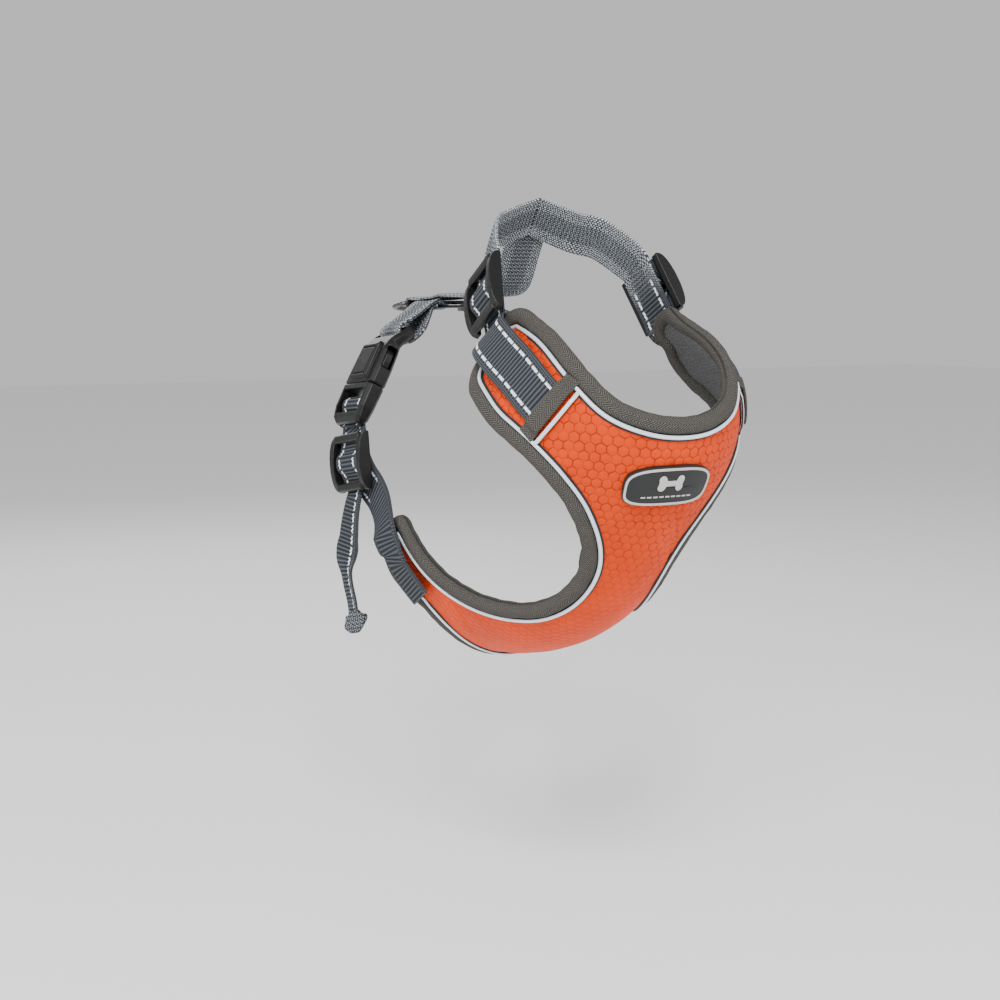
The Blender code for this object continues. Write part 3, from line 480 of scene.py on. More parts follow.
away = hexagons(cloth, HEX)
# the hexagon lines are embossed grooves; their darker orange is painted shade in them, weaker towards the
# bottom, where the lines fade
line = away.step(0.415, 0.485)
broken = cloth.noise(0.22, 2.0, cloth.lay).step(0.34, 0.6)
line = line * (broken * 0.75 + 0.25) * (cloth.across.step(-120.0, -25.0) * 0.75 + 0.25)
weave = (cloth.along + cloth.across).wave(0.62) * (cloth.along - cloth.across).wave(0.62)
cloudy = cloth.noise(0.035, 2.0, cloth.lay).step(0.3, 0.75)
tint = cloudy.blend(ORANGE, ORANGE_LIGHT)
tint = (line * 0.72).blend(tint, ORANGE_GROOVE_SHADE)
fabric.data.materials.append(cloth.feed(
    Base_Color=tint, Roughness=0.5 + line * 0.2 + weave * 0.08,
    height=away.step(0.5, 0.1) * 0.22 - line * 0.22 + weave * 0.035 + cloth.noise(0.11, 3.0, cloth.lay)
                                        * 0.5))
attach(fabric, "harness")
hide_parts("chest_panel_fabric")

# ---------------------------------------------------------------- edge binding
# Warm grey herringbone tape, folded over the cut edges of the face cloth and the lining and sewn through.
# Four lengths meet under the shoulder straps and at the wing tips; the fill makes each a soft roll.
BIND_CENTRE = (0.1, 2.35)
BIND_HALF = (4.35, 4.0)
BIND_GREY = (0.06, 0.056, 0.049, 1)
BIND_GROOVE_SHADE = (0.009, 0.0083, 0.0072, 1)
BIND_RIDGE_LIGHT = (0.13, 0.122, 0.11, 1)
TWILL = 1.45
TWILL_COLUMN = 5.6


def loft(rings, closed=False):
    """Skins a run of equal rings (stations x corners x 3)."""
    rings = np.asarray(rings, float)
    n, m = rings.shape[:2]
    at = np.arange(n * m).reshape(n, m)
    nxt = np.roll(at, -1, axis=0) if closed else at[1:]
    cur = at if closed else at[:-1]
    quads = np.stack([cur, np.roll(cur, -1, axis=1), np.roll(nxt, -1, axis=1), nxt], axis=-1).reshape(-1, 4)
    faces = quads.tolist()
    if not closed:
        faces += [list(range(m))[::-1], list(range((n - 1) * m, n * m))]
    return rings.reshape(-1, 3), faces


def perimeter(count):
    """The panel's whole edge as one closed line: neck right to left, left armhole, belly, right armhole."""
    neck = [(a, s) for a, s in NECKLINE]
    neck += [(a, -s) for a, s in NECKLINE[-2:0:-1]]
    arm_left = [(a, -s) for a, s in ARMHOLE]
    belly = [(a, -s) for a, s in REAR_EDGE[::-1][1:]] + [(a, s) for a, s in REAR_EDGE[1:-1]]
    arm_right = ARMHOLE[:0:-1]
    loop = neck + arm_left + belly + arm_right
    fine = curve(loop, 1400, closed=True)[:-1]
    solid = skin(fine[:, 0], fine[:, 1])
    solid = curve(solid[::2], count + 1, closed=True)[:-1]
    corners = skin(*np.array([NECKLINE[0], (NECKLINE[0][0], -NECKLINE[0][1]),
                              (ARMHOLE[-1][0], -ARMHOLE[-1][1]),
                              ARMHOLE[-1]]).T)
    cuts = [int(np.argmin(np.linalg.norm(solid - c, axis=1))) for c in corners]
    return solid, cuts


def loop_frames(path):
    run = unit(np.roll(path, -1, axis=0) - np.roll(path, 1, axis=0))
    up = outward(path)
    free = unit(np.cross(up, run))
    return free, np.cross(run, free)


edge_path, edge_cuts = perimeter(900)
edge_free, edge_up = loop_frames(edge_path)
pieces_of_edge = {"neck": (edge_cuts[0], edge_cuts[1]), "armhole_left": (edge_cuts[1], edge_cuts[2]),
                  "belly": (edge_cuts[2], edge_cuts[3]), "armhole_right": (edge_cuts[3], edge_cuts[0])}


def stations(name):
    first, last = pieces_of_edge[name]
    if last <= first:
        last += len(edge_path)
    return np.arange(first, last + 1) % len(edge_path)


def oval(half_wide, half_high, power, sides):
    a = np.linspace(0, 2 * math.pi, sides, endpoint=False)
    c, s = np.cos(a), np.sin(a)
    return np.stack([half_wide * np.sign(c) * np.abs(c) ** power, half_high * np.sign(s)
                     * np.abs(s) ** power], -1)


def along_edge(name, section, swell=0.0, grain=6.0):
    """Sweeps a section along one length of the edge; swell puffs it unevenly, as sewn tape is."""
    picked = stations(name)
    s = np.asarray(section, float)
    middle = s.mean(0)
    rings, lay = [], []
    turn = np.concatenate([[0], np.cumsum(np.linalg.norm(np.diff(s, axis=0), axis=1))])
    start = 0.0
    for order, k in enumerate(picked):
        if order:
            start += float(np.linalg.norm(edge_path[k] - edge_path[k - 1]))
        puff = 1.0 + swell * noise.noise(Vector(edge_path[k]) / grain)
        q = middle + (s - middle) * puff
        rings.append(edge_path[k] + edge_free[k] * q[:, :1] + edge_up[k] * q[:, 1:])
        lay.append(np.column_stack([np.full(len(s), start), turn, np.arange(len(s))]))
    return loft(rings), np.vstack(lay)


def twill_finish(name):
    """Herringbone twill: slanting ribs that turn back at every column."""
    tape = Finish(name, Roughness=0.9, Specular_IOR_Level=0.2)
    slope = (tape.along + tape.across.zigzag(TWILL_COLUMN) * 1.15) * (1 / TWILL)
    rib = slope.part()
    ridge = rib.step(0.0, 0.3) * rib.step(1.0, 0.62)
    fleck = tape.noise(1.5, 2.0, tape.lay).step(0.35, 0.7)
    # the ribs' raised crests are painted pale and the grooves between them dark: painted highlight and
    # painted shade, flecked at random
    shade = (ridge * (fleck * 0.5 + 0.5)).blend(BIND_GROOVE_SHADE, BIND_RIDGE_LIGHT)
    cloud = tape.noise(0.05, 2.0, tape.lay).step(0.3, 0.7)
    tint = (cloud * 0.3 + 0.1).blend(shade, BIND_GREY)
    return tape.feed(Base_Color=tint, height=ridge * 0.2 + fleck * 0.05)


twill = twill_finish("herringbone_tape")
bind_section = oval(*BIND_HALF, 0.8, 26) + np.array(BIND_CENTRE)
for name in pieces_of_edge:
    (points, faces), lay = along_edge(name, bind_section, 0.09)
    piece = make("binding_" + name, points, faces, lay, twill)
    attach(piece, "harness")
    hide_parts(name + "_binding" if name in ("neck", "belly") else name.replace("hole_",
        "hole_binding_"))

# ---------------------------------------------------------------- reflective piping
# A silver-white reflective cord in a narrow folded strip, sewn in beside the binding all round the panel,
# with painted shadow, dark, along each flank beside the cord.
PIPE_RADIUS = 1.08
PIPE_ACROSS = -5.45
PIPE_CENTRE = 4.9
PIPE_WHITE = (0.80, 0.86, 0.92, 1)
PIPE_SHADE_AND_STREAK = (0.55, 0.66, 0.76, 1)
PIPE_FLANK_SHADOW = (0.012, 0.012, 0.014, 1)


def pipe_finish(name):
    pipe = Finish(name, Metallic=0.15, Specular_IOR_Level=0.6)
    # the flanges and underside, outside the cord, are painted near black: painted shadow beside the cord
    flank = pipe.across.size().step(0.98, 1.12)
    streak = pipe.noise(1.4, 2.0, pipe.lay).step(0.3, 0.7)
    # the cord's sides are painted dimmer and bluer than its crest: painted shade on its rounding, with random
    # streaks
    body = (pipe.across.size().step(0.1, 0.55) * 0.35 + streak * 0.25).blend(PIPE_WHITE, PIPE_SHADE_AND_STREAK)
    return pipe.feed(Base_Color=flank.blend(body, PIPE_FLANK_SHADOW), Roughness=0.3 + flank * 0.5,
                     height=pipe.along.wave(0.5) * 0.02 + streak * 0.02)


piping = pipe_finish("reflective_piping")
# the cord stands between two flat flanges that the stitches run through
PIPE_SECTION = [(-2.0, -0.75), (-1.25, -0.55)]
for t in np.linspace(160, 20, 9):
    PIPE_SECTION.append((PIPE_RADIUS * math.cos(math.radians(t)), PIPE_RADIUS * math.sin(math.radians(t))
                         * 0.95))
PIPE_SECTION += [(1.25, -0.55), (2.0, -0.75), (1.6, -1.3), (0.0, -1.4), (-1.6, -1.3)]
pipe_section = np.array(PIPE_SECTION)
for name in pieces_of_edge:
    (points, faces), lay = along_edge(name, pipe_section + np.array([PIPE_ACROSS, PIPE_CENTRE]))
    lay[:, 1] = np.tile(pipe_section[:, 0], len(lay) // len(pipe_section))
    piece = make("piping_" + name, points, faces, lay, piping)
    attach(piece, "harness")
    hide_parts(name + "_piping" if name in ("neck", "belly") else name.replace("hole_",
        "hole_piping_"))

# ---------------------------------------------------------------- chest badge
# A soft moulded rubber tag, charcoal, with a pale raised outline and a pale bone in relief. It is sewn on
# through the face cloth before the lining goes on.
BADGE_LENGTH = 45.0
BADGE_WIDTH = 18.5
BADGE_AT = (-4.4, -0.9)
BADGE_FOOT = 4.4
BADGE_FACE = 7.0
RIM_INSET = 0.55
RIM_WIDTH = 0.95
BADGE_BLACK = (0.010, 0.0104, 0.0112, 1)
BADGE_PALE = (0.50, 0.50, 0.48, 1)


def on_skin(flat, lift, at):
    """Lays flat points (mm across, mm up) on the panel at the given height."""
    flat = np.asarray(flat, float)
    reach = np.linalg.norm(skin(*at) - FORM_CENTRE)
    return skin(at[0] - np.degrees(flat[:, 1] / reach), at[1] + np.degrees(flat[:, 0] / reach), lift)


badge_rings, badge_lay = [], []
for inset, lift in ((0.0, BADGE_FOOT), (0.0, 6.2), (0.12, 6.7), (0.5, BADGE_FACE), (RIM_INSET, BADGE_FACE),
                    (RIM_INSET + 0.15, BADGE_FACE + 0.3), (RIM_INSET + RIM_WIDTH, BADGE_FACE + 0.3),
                    (RIM_INSET + RIM_WIDTH + 0.15, BADGE_FACE - 0.1), (4.5, BADGE_FACE - 0.1),
                    (7.0, BADGE_FACE - 0.1), (9.0, BADGE_FACE - 0.1)):
    outline = oval(BADGE_LENGTH / 2 - inset, BADGE_WIDTH / 2 - inset, 0.55, 72)
    badge_rings.append(on_skin(outline, lift, BADGE_AT))
    badge_lay.append(np.column_stack([np.full(72, inset), outline[:, 0], outline[:, 1]]))
rubber = Finish("badge_rubber", Roughness=0.5, Specular_IOR_Level=0.4)
pale = rubber.along.step(RIM_INSET - 0.05, RIM_INSET + 0.05) * rubber.along.step(RIM_INSET + RIM_WIDTH + 0.2,
                                                                                   RIM_INSET + RIM_WIDTH
                                                                                       + 0.05)
scuff = rubber.noise(900.0, 4.0)
rubber.feed(Base_Color=pale.blend(BADGE_BLACK, BADGE_PALE), Roughness=0.42 + scuff * 0.2, height=scuff * 0.05)
badge = make("badge_tag", *loft(badge_rings), np.vstack(badge_lay), rubber.look, 40)
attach(badge, "harness")
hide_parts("badge")

LOBE = (4.5, 1.75, 1.75)
SHAFT = 1.15
BONE_AT = (-0.5, 1.9)
bone_half = [(0.0, SHAFT), (2.4, SHAFT)]
for t in np.linspace(165, -35, 12):
    bone_half.append((LOBE[0] + LOBE[2] * math.cos(math.radians(t)), LOBE[1] + LOBE[2]
                      * math.sin(math.radians(t))))
bone_half += [(x, -y) for x, y in bone_half[:0:-1]]
bone = np.array(bone_half + [(-x, -y) for x, y in bone_half]) + np.array(BONE_AT)
bone_rings = []
for shrink, lift in ((0.0, BADGE_FACE - 0.4), (0.0, BADGE_FACE + 0.15), (0.18, BADGE_FACE + 0.32)):
    bone_rings.append(on_skin((bone - BONE_AT) * (1 - shrink / 5.0) + BONE_AT, lift, BADGE_AT))
relief = Finish("badge_relief", Base_Color=BADGE_PALE, Specular_IOR_Level=0.4)
relief.feed(Roughness=0.45 + relief.noise(900.0) * 0.2, height=relief.noise(1200.0) * 0.04)
bone_piece = make("badge_bone", *loft(bone_rings), look=relief.look, angle=40)
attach(bone_piece, "harness")
dash_points, dash_faces = [], []
for k in range(9):
    x = (k - 4) * 3.0 - 0.5
    corners = [(x - 1.05, -4.7), (x + 1.05, -4.7), (x + 1.05, -4.1), (x - 1.05, -4.1)]
    tile = loft([on_skin(corners, BADGE_FACE - 0.4, BADGE_AT), on_skin(corners, BADGE_FACE + 0.12, BADGE_AT)])
    dash_faces += [[i + len(dash_points) * 8 for i in f] for f in tile[1]]
    dash_points.append(tile[0])
dash_row = make("badge_dashes", np.vstack(dash_points), dash_faces, look=relief.look, angle=30)
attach(dash_row, "harness")

# ---------------------------------------------------------------- shoulder straps
# Slate grey nylon webbing, 25 mm wide, woven with ribs across it. Two rows of white reflective thread
# float on its face as dashes, and show as pale flecks on its back. Sewn to each arm, up to the nape.
WEB_WIDTH = 25.0
WEB_THICK = 1.7
RIB = 2.3
RIB_HEIGHT = 0.3
DASH_AT = 8.0
DASH_HALF = 0.72
DASH_PITCH = 6.4
DASH_FILL = 0.8
SLATE = (0.036, 0.043, 0.054, 1)
SLATE_TROUGH_SHADE = (0.003, 0.004, 0.0055, 1)
SLATE_CREST_LIGHT = (0.10, 0.112, 0.131, 1)
THREAD_WHITE = (0.80, 0.84, 0.88, 1)
GLIDE_LENGTH = 33.0
LAYER_GAP = 0.3
SIDES = (("right", 1.0), ("left", -1.0))


def webbing_profile(width, thick):
    """Section of a woven strap: flat faces, slightly thicker rolled selvedges."""
    w, t = width / 2, thick / 2
    face = [(-w + 0.35, 0.8 * t), (-w + 1.1, 1.12 * t), (-w + 2.2, 1.1 * t), (-w + 3.4, t), (-0.42 * w, t),
            (-0.15 * w, t)]
    face += [(-x, y) for x, y in face[::-1]]
    return np.array([(-w, 0.0)] + face + [(w, 0.0)] + [(x, -y) for x, y in face[::-1]])


def webbing(path, up, mottle, width=WEB_WIDTH, thick=WEB_THICK, taper=((0, 1, 1), (1, 1, 1)), shown=None):
    """Woven strap along a path; up gives its face's direction, mottle how much of its back weave shows.

    taper scales its width and thickness along it; shown is the part of its width that a fold leaves
    outside.
    """
    total = length_along(path)[-1]
    count = max(12, int(total / (RIB / 5.0)))
    share = np.linspace(0, 1, count)
    old = length_along(path) / total
    fine = np.stack([np.interp(share, old, path[:, k]) for k in range(3)], -1)
    # ease the corners that the straight steps leave
    for _ in range(6):
        fine[1:-1] = (fine[:-2] + 2 * fine[1:-1] + fine[2:]) / 4
    face = np.stack([np.interp(share, old, up[:, k]) for k in range(3)], -1)
    run = unit(np.gradient(fine, axis=0))
    wide = unit(np.cross(face, run))
    out = np.cross(run, wide)
    along = length_along(fine)
    section = webbing_profile(width, thick)
    rib = np.cos(2 * math.pi * along / RIB) * RIB_HEIGHT
    notch = np.cos(2 * math.pi * along / (RIB / 2)) * 0.07
    v = np.broadcast_to(section[:, 0], (count, len(section))).copy()
    h = np.broadcast_to(section[:, 1], (count, len(section))).copy()
    middle = np.clip((width / 2 - 2.9 - np.abs(section[:, 0])) / 0.8, 0, 1)
    h += np.sign(section[:, 1]) * (rib[:, None] * middle + notch[:, None] * (1 - middle))
    v += np.where(np.abs(section[:, 0]) > width / 2 - 0.1, np.sign(section[:, 0]) * notch[:, None] * 2.0, 0.0)
    stops, widths, thicks = zip(*taper)
    v *= np.interp(share, stops, widths)[:, None]
    h *= np.interp(share, stops, thicks)[:, None]
    rings = fine[:, None] + wide[:, None] * v[..., None] + out[:, None] * h[..., None]
    fleck = np.interp(share, *zip(*mottle)) if isinstance(mottle, (list, tuple)) else np.full(count, mottle)
    side = section[:, 0]
    if shown:
        side = np.interp(side, (-width / 2, width / 2), shown)
    lay = np.stack([np.broadcast_to(along[:, None], v.shape), np.broadcast_to(side, v.shape),
                    np.broadcast_to(fleck[:, None], v.shape)], -1)
    return loft(rings), lay.reshape(-1, 3)


def webbing_finish(name):
    web = Finish(name, Roughness=0.75, Specular_IOR_Level=0.3)
    side = web.across.size()
    rib = web.along.wave(RIB)
    selvedge = side.step(9.3, 9.9)
    yarn = web.across.wave(0.8)
    chain = web.along.wave(RIB / 2, 1.2) * web.across.wave(1.15)
    grain = web.noise(0.9, 2.0, web.lay)
    # the ribs' crests are painted pale and the troughs dark, and so are the selvedge's chain loops: painted
    # highlight and painted shade, mottled at random
    face = ((rib * rib * 0.85 + yarn * 0.15 - 0.04) * (grain * 0.6 + 0.62)).blend(SLATE_TROUGH_SHADE, SLATE_CREST_LIGHT)
    face = (grain.step(0.3, 0.75) * 0.2 + 0.08).blend(face, SLATE)
    edge = (chain * 0.9 + grain * 0.25).blend(SLATE_TROUGH_SHADE, SLATE_CREST_LIGHT)
    base = selvedge.blend(face, edge)
    # reflective thread, floating over three ribs and under a half
    slot_in = (web.along * (1 / DASH_PITCH)).part()
    dash = slot_in.step(0.0, 0.07) * slot_in.step(DASH_FILL + 0.04, DASH_FILL - 0.04)
    dash = dash * (side - DASH_AT).size().step(DASH_HALF + 0.12, DASH_HALF - 0.12)
    dash = dash * web.third.step(0.6, 0.4) * web.third.step(-0.9, -0.5)
    # on the back the same thread shows as slanting pale flecks all over
    stagger = web.along + web.across.zigzag(2.4) * 0.9
    fleck = stagger.wave(1.5) * web.across.wave(1.2, 0.6)
    speck = web.noise(1.15, 1.0, web.lay)
    fleck = (fleck * 0.55 + speck * 0.75).step(0.5, 0.68) * web.third.most(0.0)
    band = side.step(4.5, 7.0) * 0.55 + 0.45
    white = (fleck * band * 0.6).most(dash)
    return web.feed(Base_Color=white.blend(base, THREAD_WHITE), Roughness=0.8 - dash * 0.35,
                    height=rib * 0.12 * (1.0 - selvedge) + chain * 0.14 * selvedge + yarn * 0.03 + white
                    * 0.12)


nylon = webbing_finish("slate_webbing")


def each_side(stem, shape, lay, look, body, nodes=(), angle=60.0):
    """The same piece on the dog's right (-X) and, mirrored, on its left."""
    points, faces = shape
    for side, sign in SIDES:
        p = np.asarray(points) * np.array([sign, 1.0, 1.0])
        f = faces if sign > 0 else [list(q)[::-1] for q in faces]
        piece = make(stem + "_" + side, p, f, lay, look, angle)
        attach(piece, body.replace("SIDE", side))
        if nodes:
            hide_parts(*[n + "_" + side for n in nodes])


web_lift = FABRIC_TOP + LAYER_GAP + WEB_THICK / 2
glide_centre = skin(-61.5, -21.3, 3.6)
glide_run = unit(skin(-73.0, -16.5) - skin(-49.0, -26.5))
glide_wide = unit(np.cross(outward(glide_centre), glide_run))
glide_out = np.cross(glide_run, glide_wide)
strap_points = [skin(-19.8, -21.6, web_lift + 0.8), skin(-25, -23.9, web_lift + 0.8),
                skin(-31, -25.6, web_lift + 1.1),
                skin(-36, -26.6, web_lift + 2.8), skin(-41, -26.9, web_lift + 5.8),
                skin(-46.5, -26.3, web_lift + 6.0)]
strap_points += [glide_centre + glide_run * d for d in (-20.0, -13.0, -6.5, 0.0, 6.5, 13.0, 20.0)]
strap_points += [skin(-77.6, -13.6, 2.2), skin(-81.8, -9.6, 2.2), skin(-83.8, -5.0, 2.0),
                 skin(-84.0, -0.4, 2.0)]
shoulder_path = curve(strap_points, 120)


def held_flat(path, centre, out):
    """Outward directions along a strap, turned square to the tri-glide where it passes under it."""
    share = np.clip((26.0 - np.linalg.norm(path - centre, axis=1)) / 8.0, 0.0, 1.0)[:, None]
    up = outward(path)
    near = int(np.argmin(np.linalg.norm(path - centre, axis=1)))
    for _ in range(len(path)):
        up[near + 1:-1] = unit((up[near:-2] + 2.0 * up[near + 1:-1] + up[near + 2:]) / 4.0)
    return unit(up * (1.0 - share) + out * share)


strap, lay = webbing(shoulder_path, held_flat(shoulder_path, glide_centre, glide_out),
                     [(0.0, 0.0), (0.52, 0.0), (0.62, 1.0), (1.0, 1.0)])
# both ends are cut to meet on the midline, under the spine strap
ends = strap[0].reshape(-1, len(webbing_profile(WEB_WIDTH, WEB_THICK)), 3)
share = np.clip(np.arange(50) / 49.0, 0.0, 1.0)[:, None]
ends[-50:, :, 0] += share * (-0.15 - ends[-1, :, 0])
each_side("shoulder_strap", strap, lay, nylon, "harness", ["neck_strap"])

# Tape sewn across each arm over the strap's raw end, both its ends caught under the piping, with a
# reflective strip along its chest side.
TAPE_ENDS = ((-16.4, -26.6), (-24.6, -17.0))
TAPE_WIDTH = 9.0
STRIP_ENDS = ((-14.4, -24.9), (-21.8, -16.7))
STRIP_WIDTH = 2.4


def across_arm(ends, low, high, reach, section):
    a, b = (np.asarray(e, float) for e in ends)
    t = np.linspace(0, 1, 70)
    line = a + (b - a) * t[:, None]
    hump = np.clip((reach - np.abs(t - 0.5)) / 0.1, 0, 1)
    hump = hump * hump * (3 - 2 * hump)
    path = skin(line[:, 0], line[:, 1], low + (high - low) * hump)
    run = unit(np.gradient(path, axis=0))
    wide = unit(np.cross(outward(path), run))
    out = np.cross(run, wide)
    rings = path[:, None] + wide[:, None] * section[:, :1] + out[:, None] * section[:, 1:]
    lay = [[(s, v, 0.0) for v in section[:, 0]] for s in length_along(path)]
    return loft(rings), np.array(lay).reshape(-1, 3)


shape, lay = across_arm(TAPE_ENDS, FABRIC_TOP + 1.4, FABRIC_TOP + 3.6, 0.4,
                        oval(TAPE_WIDTH / 2, 0.8, 0.45, 22))
each_side("cross_tape", shape, lay, twill, "harness", ["arm_tape"])
shape, lay = across_arm(STRIP_ENDS, FABRIC_TOP + 1.5, FABRIC_TOP + 2.0, 0.4,
                        oval(STRIP_WIDTH / 2, 0.75, 0.8, 14))
each_side("cross_strip", shape, lay, piping, "harness", ["arm_strip"])

# ---------------------------------------------------------------- tri-glides at the shoulders
# Moulded black acetal: two deep lens-shaped cheeks joined by three bars. The strap runs underneath, and
# its other length passes over the middle bar, so the glide grips where it is left.
GLIDE_CHEEK = 4.4
GLIDE_BAR = 5.0
GLIDE_RISE = 6.6
PLASTIC_BLACK = (0.0025, 0.0026, 0.0028, 1)
PLASTIC_GREY = (0.006, 0.0062, 0.0065, 1)


def plastic_finish(name, colour, worn, rough):
    """Satin moulded plastic with a faint spark-eroded grain and slightly polished, paler patches spread at
    random.
    """
    acetal = Finish(name, Specular_IOR_Level=0.32)
    grain = acetal.noise(3200.0, 2.0)
    rubbed = acetal.noise(160.0, 4.0).step(0.45, 0.75)
    return acetal.feed(Base_Color=(rubbed * 0.6 + grain * 0.2).blend(colour, worn), Roughness=rough + grain
                       * 0.1
                       - rubbed * 0.06, height=grain * 0.018 + acetal.noise(700.0, 2.0) * 0.012)


acetal = plastic_finish("black_acetal", PLASTIC_BLACK, PLASTIC_GREY, 0.36)


def rounded(w, t, soft):
    return [(-w, -t + soft), (-w + soft, -t), (w - soft, -t), (w, -t + soft), (w, t - soft), (w - soft, t),
            (-w + soft, t), (-w, t - soft)]


def hull_run(stations_, soft=2.2):
    """Lofts rounded sections; each station is (along, half width, half thickness, rise)."""
    return loft([[(a, y, z + rise) for y, z in rounded(w, t, min(soft, t * 0.6))] for a, w, t,
                 rise in stations_])


def box(lo, hi):
    ring = [(1, 0), (1, 1), (0, 1), (0, 0)]
    ends = [[(x, lo[1] if not a else hi[1], lo[2] if not b else hi[2]) for a, b in ring] for x in (lo[0],
        hi[0])]
    return loft(ends)


def prism(outline, lo, hi, axes):
    """Extrudes a 2-D outline; axes says which local axis each outline value and the depth fill."""
    ends = []
    for d in (lo, hi):
        ring = np.zeros((len(outline), 3))
        ring[:, axes[0]], ring[:, axes[1]] = np.array(outline).T
        ring[:, axes[2]] = d
        ends.append(ring)
    return loft(ends)


def moulded(parts, cuts, grain=0.34, rounds=5, keep=0.35):
    """Union of closed shapes less the cutters, with every edge softly rounded as a mould leaves it."""
    made = []
    for k, (points, faces) in enumerate(list(parts) + list(cuts)):
        mesh = bpy.data.meshes.new("shape")
        mesh.from_pydata(np.asarray(points, float).tolist(), [], [list(f) for f in faces])
        work = bmesh.new()
        work.from_mesh(mesh)
        bmesh.ops.recalc_face_normals(work, faces=work.faces)
        if work.calc_volume(signed=True) < 0:
            bmesh.ops.reverse_faces(work, faces=work.faces)
        work.to_mesh(mesh)
        work.free()
        ob = bpy.data.objects.new("shape", mesh)
        bpy.context.collection.objects.link(ob)
        made.append((ob, "UNION" if k < len(parts) else "DIFFERENCE"))
    base = made[0][0]
    for ob, how in made[1:]:
        cut = base.modifiers.new("cut", "BOOLEAN")
        cut.operation = how
        cut.solver = "EXACT"
        cut.object = ob
    skinned = base.modifiers.new("skin", "REMESH")
    skinned.mode = "VOXEL"
    skinned.voxel_size = grain
    soft = base.modifiers.new("soft", "SMOOTH")
    soft.factor = 0.5
    soft.iterations = rounds
    fewer = base.modifiers.new("fewer", "DECIMATE")
    fewer.ratio = keep
    mesh = base.evaluated_get(bpy.context.evaluated_depsgraph_get()).to_mesh()
    points = np.array([v.co for v in mesh.vertices])
    faces = [list(f.vertices) for f in mesh.polygons]
    for ob, _ in made:
        bpy.data.objects.remove(ob, do_unlink=True)
    return points, faces


def placed(local, centre, run, wide, out):
    p = np.asarray(local, float)
    return centre + p[:, :1] * run + p[:, 1:2] * wide + p[:, 2:] * out


half = GLIDE_LENGTH / 2
cheek_in = WEB_WIDTH / 2 + 0.9
cheek_out = cheek_in + GLIDE_CHEEK
glide_floor = WEB_THICK / 2 + 0.9
cheek_side = [(-half - 0.4, glide_floor + 0.8), (-half + 0.4, glide_floor), (half - 0.4, glide_floor),
              (half + 0.4, glide_floor + 0.8)]
for t in np.linspace(0.08, 0.92, 11):
    cheek_side.append((half * math.cos(math.pi * t), glide_floor + 1.4 + (GLIDE_RISE - 0.3)
                       * math.sin(math.pi * t) ** 0.8))


def bar_outline(at, wide, low, high):
    w = wide / 2
    return [(at - w, low + 0.7), (at - w + 0.7, low), (at + w - 0.7, low), (at + w, low + 0.7),
            (at + w, high - 0.9),
            (at + w - 0.9, high), (at - w + 0.9, high), (at - w, high - 0.9)]


bar_span = cheek_in + 0.5
centre_low = glide_floor + WEB_THICK + 0.6
glide_parts = [prism(cheek_side, cheek_in, cheek_out, (0, 2, 1)),
               prism(cheek_side, -cheek_out, -cheek_in, (0, 2, 1))]
for at in (-half + GLIDE_BAR / 2, half - GLIDE_BAR / 2):
    glide_parts.append(prism(bar_outline(at, GLIDE_BAR, centre_low, centre_low + 3.6), -bar_span, bar_span,
                             (0, 2, 1)))
glide_parts.append(prism(bar_outline(0.0, 3.4, centre_low + 0.2, centre_low + 2.2), -bar_span, bar_span,
                         (0, 2, 1)))
glide_shape = moulded(glide_parts, [])
band_low = glide_floor + WEB_THICK / 2 + 0.15
band_high = centre_low + 2.2 + 0.35 + WEB_THICK / 2
BAND_RUN = [(-half + 2.4, band_low + 0.4), (-half + 5.4, band_low + 0.3), (-6.6, band_low + 1.6),
            (-3.2, band_high - 0.4),
            (0, band_high), (3.2, band_high - 0.4), (6.6, band_low + 1.6), (half - 5.4, band_low),
            (half - 0.8, band_low)]


def tri_glide(stem, centre, run, wide, out, body):
    shape = placed(glide_shape[0], centre, run, wide, out), glide_shape[1]
    each_side(stem, shape, None, acetal, body, [stem], 50)
    path = placed(curve([(a, 0.0, h) for a, h in BAND_RUN], 40), centre, run, wide, out)
    band, lay = webbing(path, np.cross(unit(np.gradient(path, axis=0)), wide), 0.0, thick=WEB_THICK * 0.9)
    each_side(stem + "_webbing", band, lay, nylon, body, [stem + "_band"])


tri_glide("neck_glide", glide_centre, glide_run, glide_wide, glide_out, "neck_adjuster_SIDE")

# ---------------------------------------------------------------- side release buckles
# Moulded black acetal. The female half has a raised plate in a groove, open side windows and a bar end
# that bends toward the dog. The male half has a guide, two sprung arms, and the bar that holds the strap.
BUCKLE_WIDTH = 34.0
BUCKLE_THICK = 11.0
BUCKLE_WALL = 2.3
FEMALE_BODY = 26.0
FEMALE_BAR_REACH = 17.0
FEMALE_BEND = 26.0
MALE_BODY = 24.5
MOUTH_RING = 11.0
GUIDE_WIDTH = 6.0
FIT = 0.3

mouth = np.array([-65.4, -24.3, -46.3])
buckle_run = unit(np.array([-24.4, -6.0, -42.0]))
buckle_wide = unit(np.cross(np.array([-0.82, 0.0, 0.5]), buckle_run))
buckle_out = np.cross(buckle_run, buckle_wide)
bw = BUCKLE_WIDTH / 2
bt = BUCKLE_THICK / 2
cavity_w = bw - BUCKLE_WALL - 1.0
cavity_t = bt - BUCKLE_WALL
body = -FEMALE_BODY
reach = body - FEMALE_BAR_REACH


def frame_cut(lo, hi, wide, low, high):
    """Four cutters that leave a groove round a rectangle."""
    (x0, y0), (x1, y1) = lo, hi
    return [box((x0, y0, low), (x0 + wide, y1, high)), box((x1 - wide, y0, low), (x1, y1, high)),
            box((x0, y0, low), (x1, y0 + wide, high)), box((x0, y1 - wide, low), (x1, y1, high))]


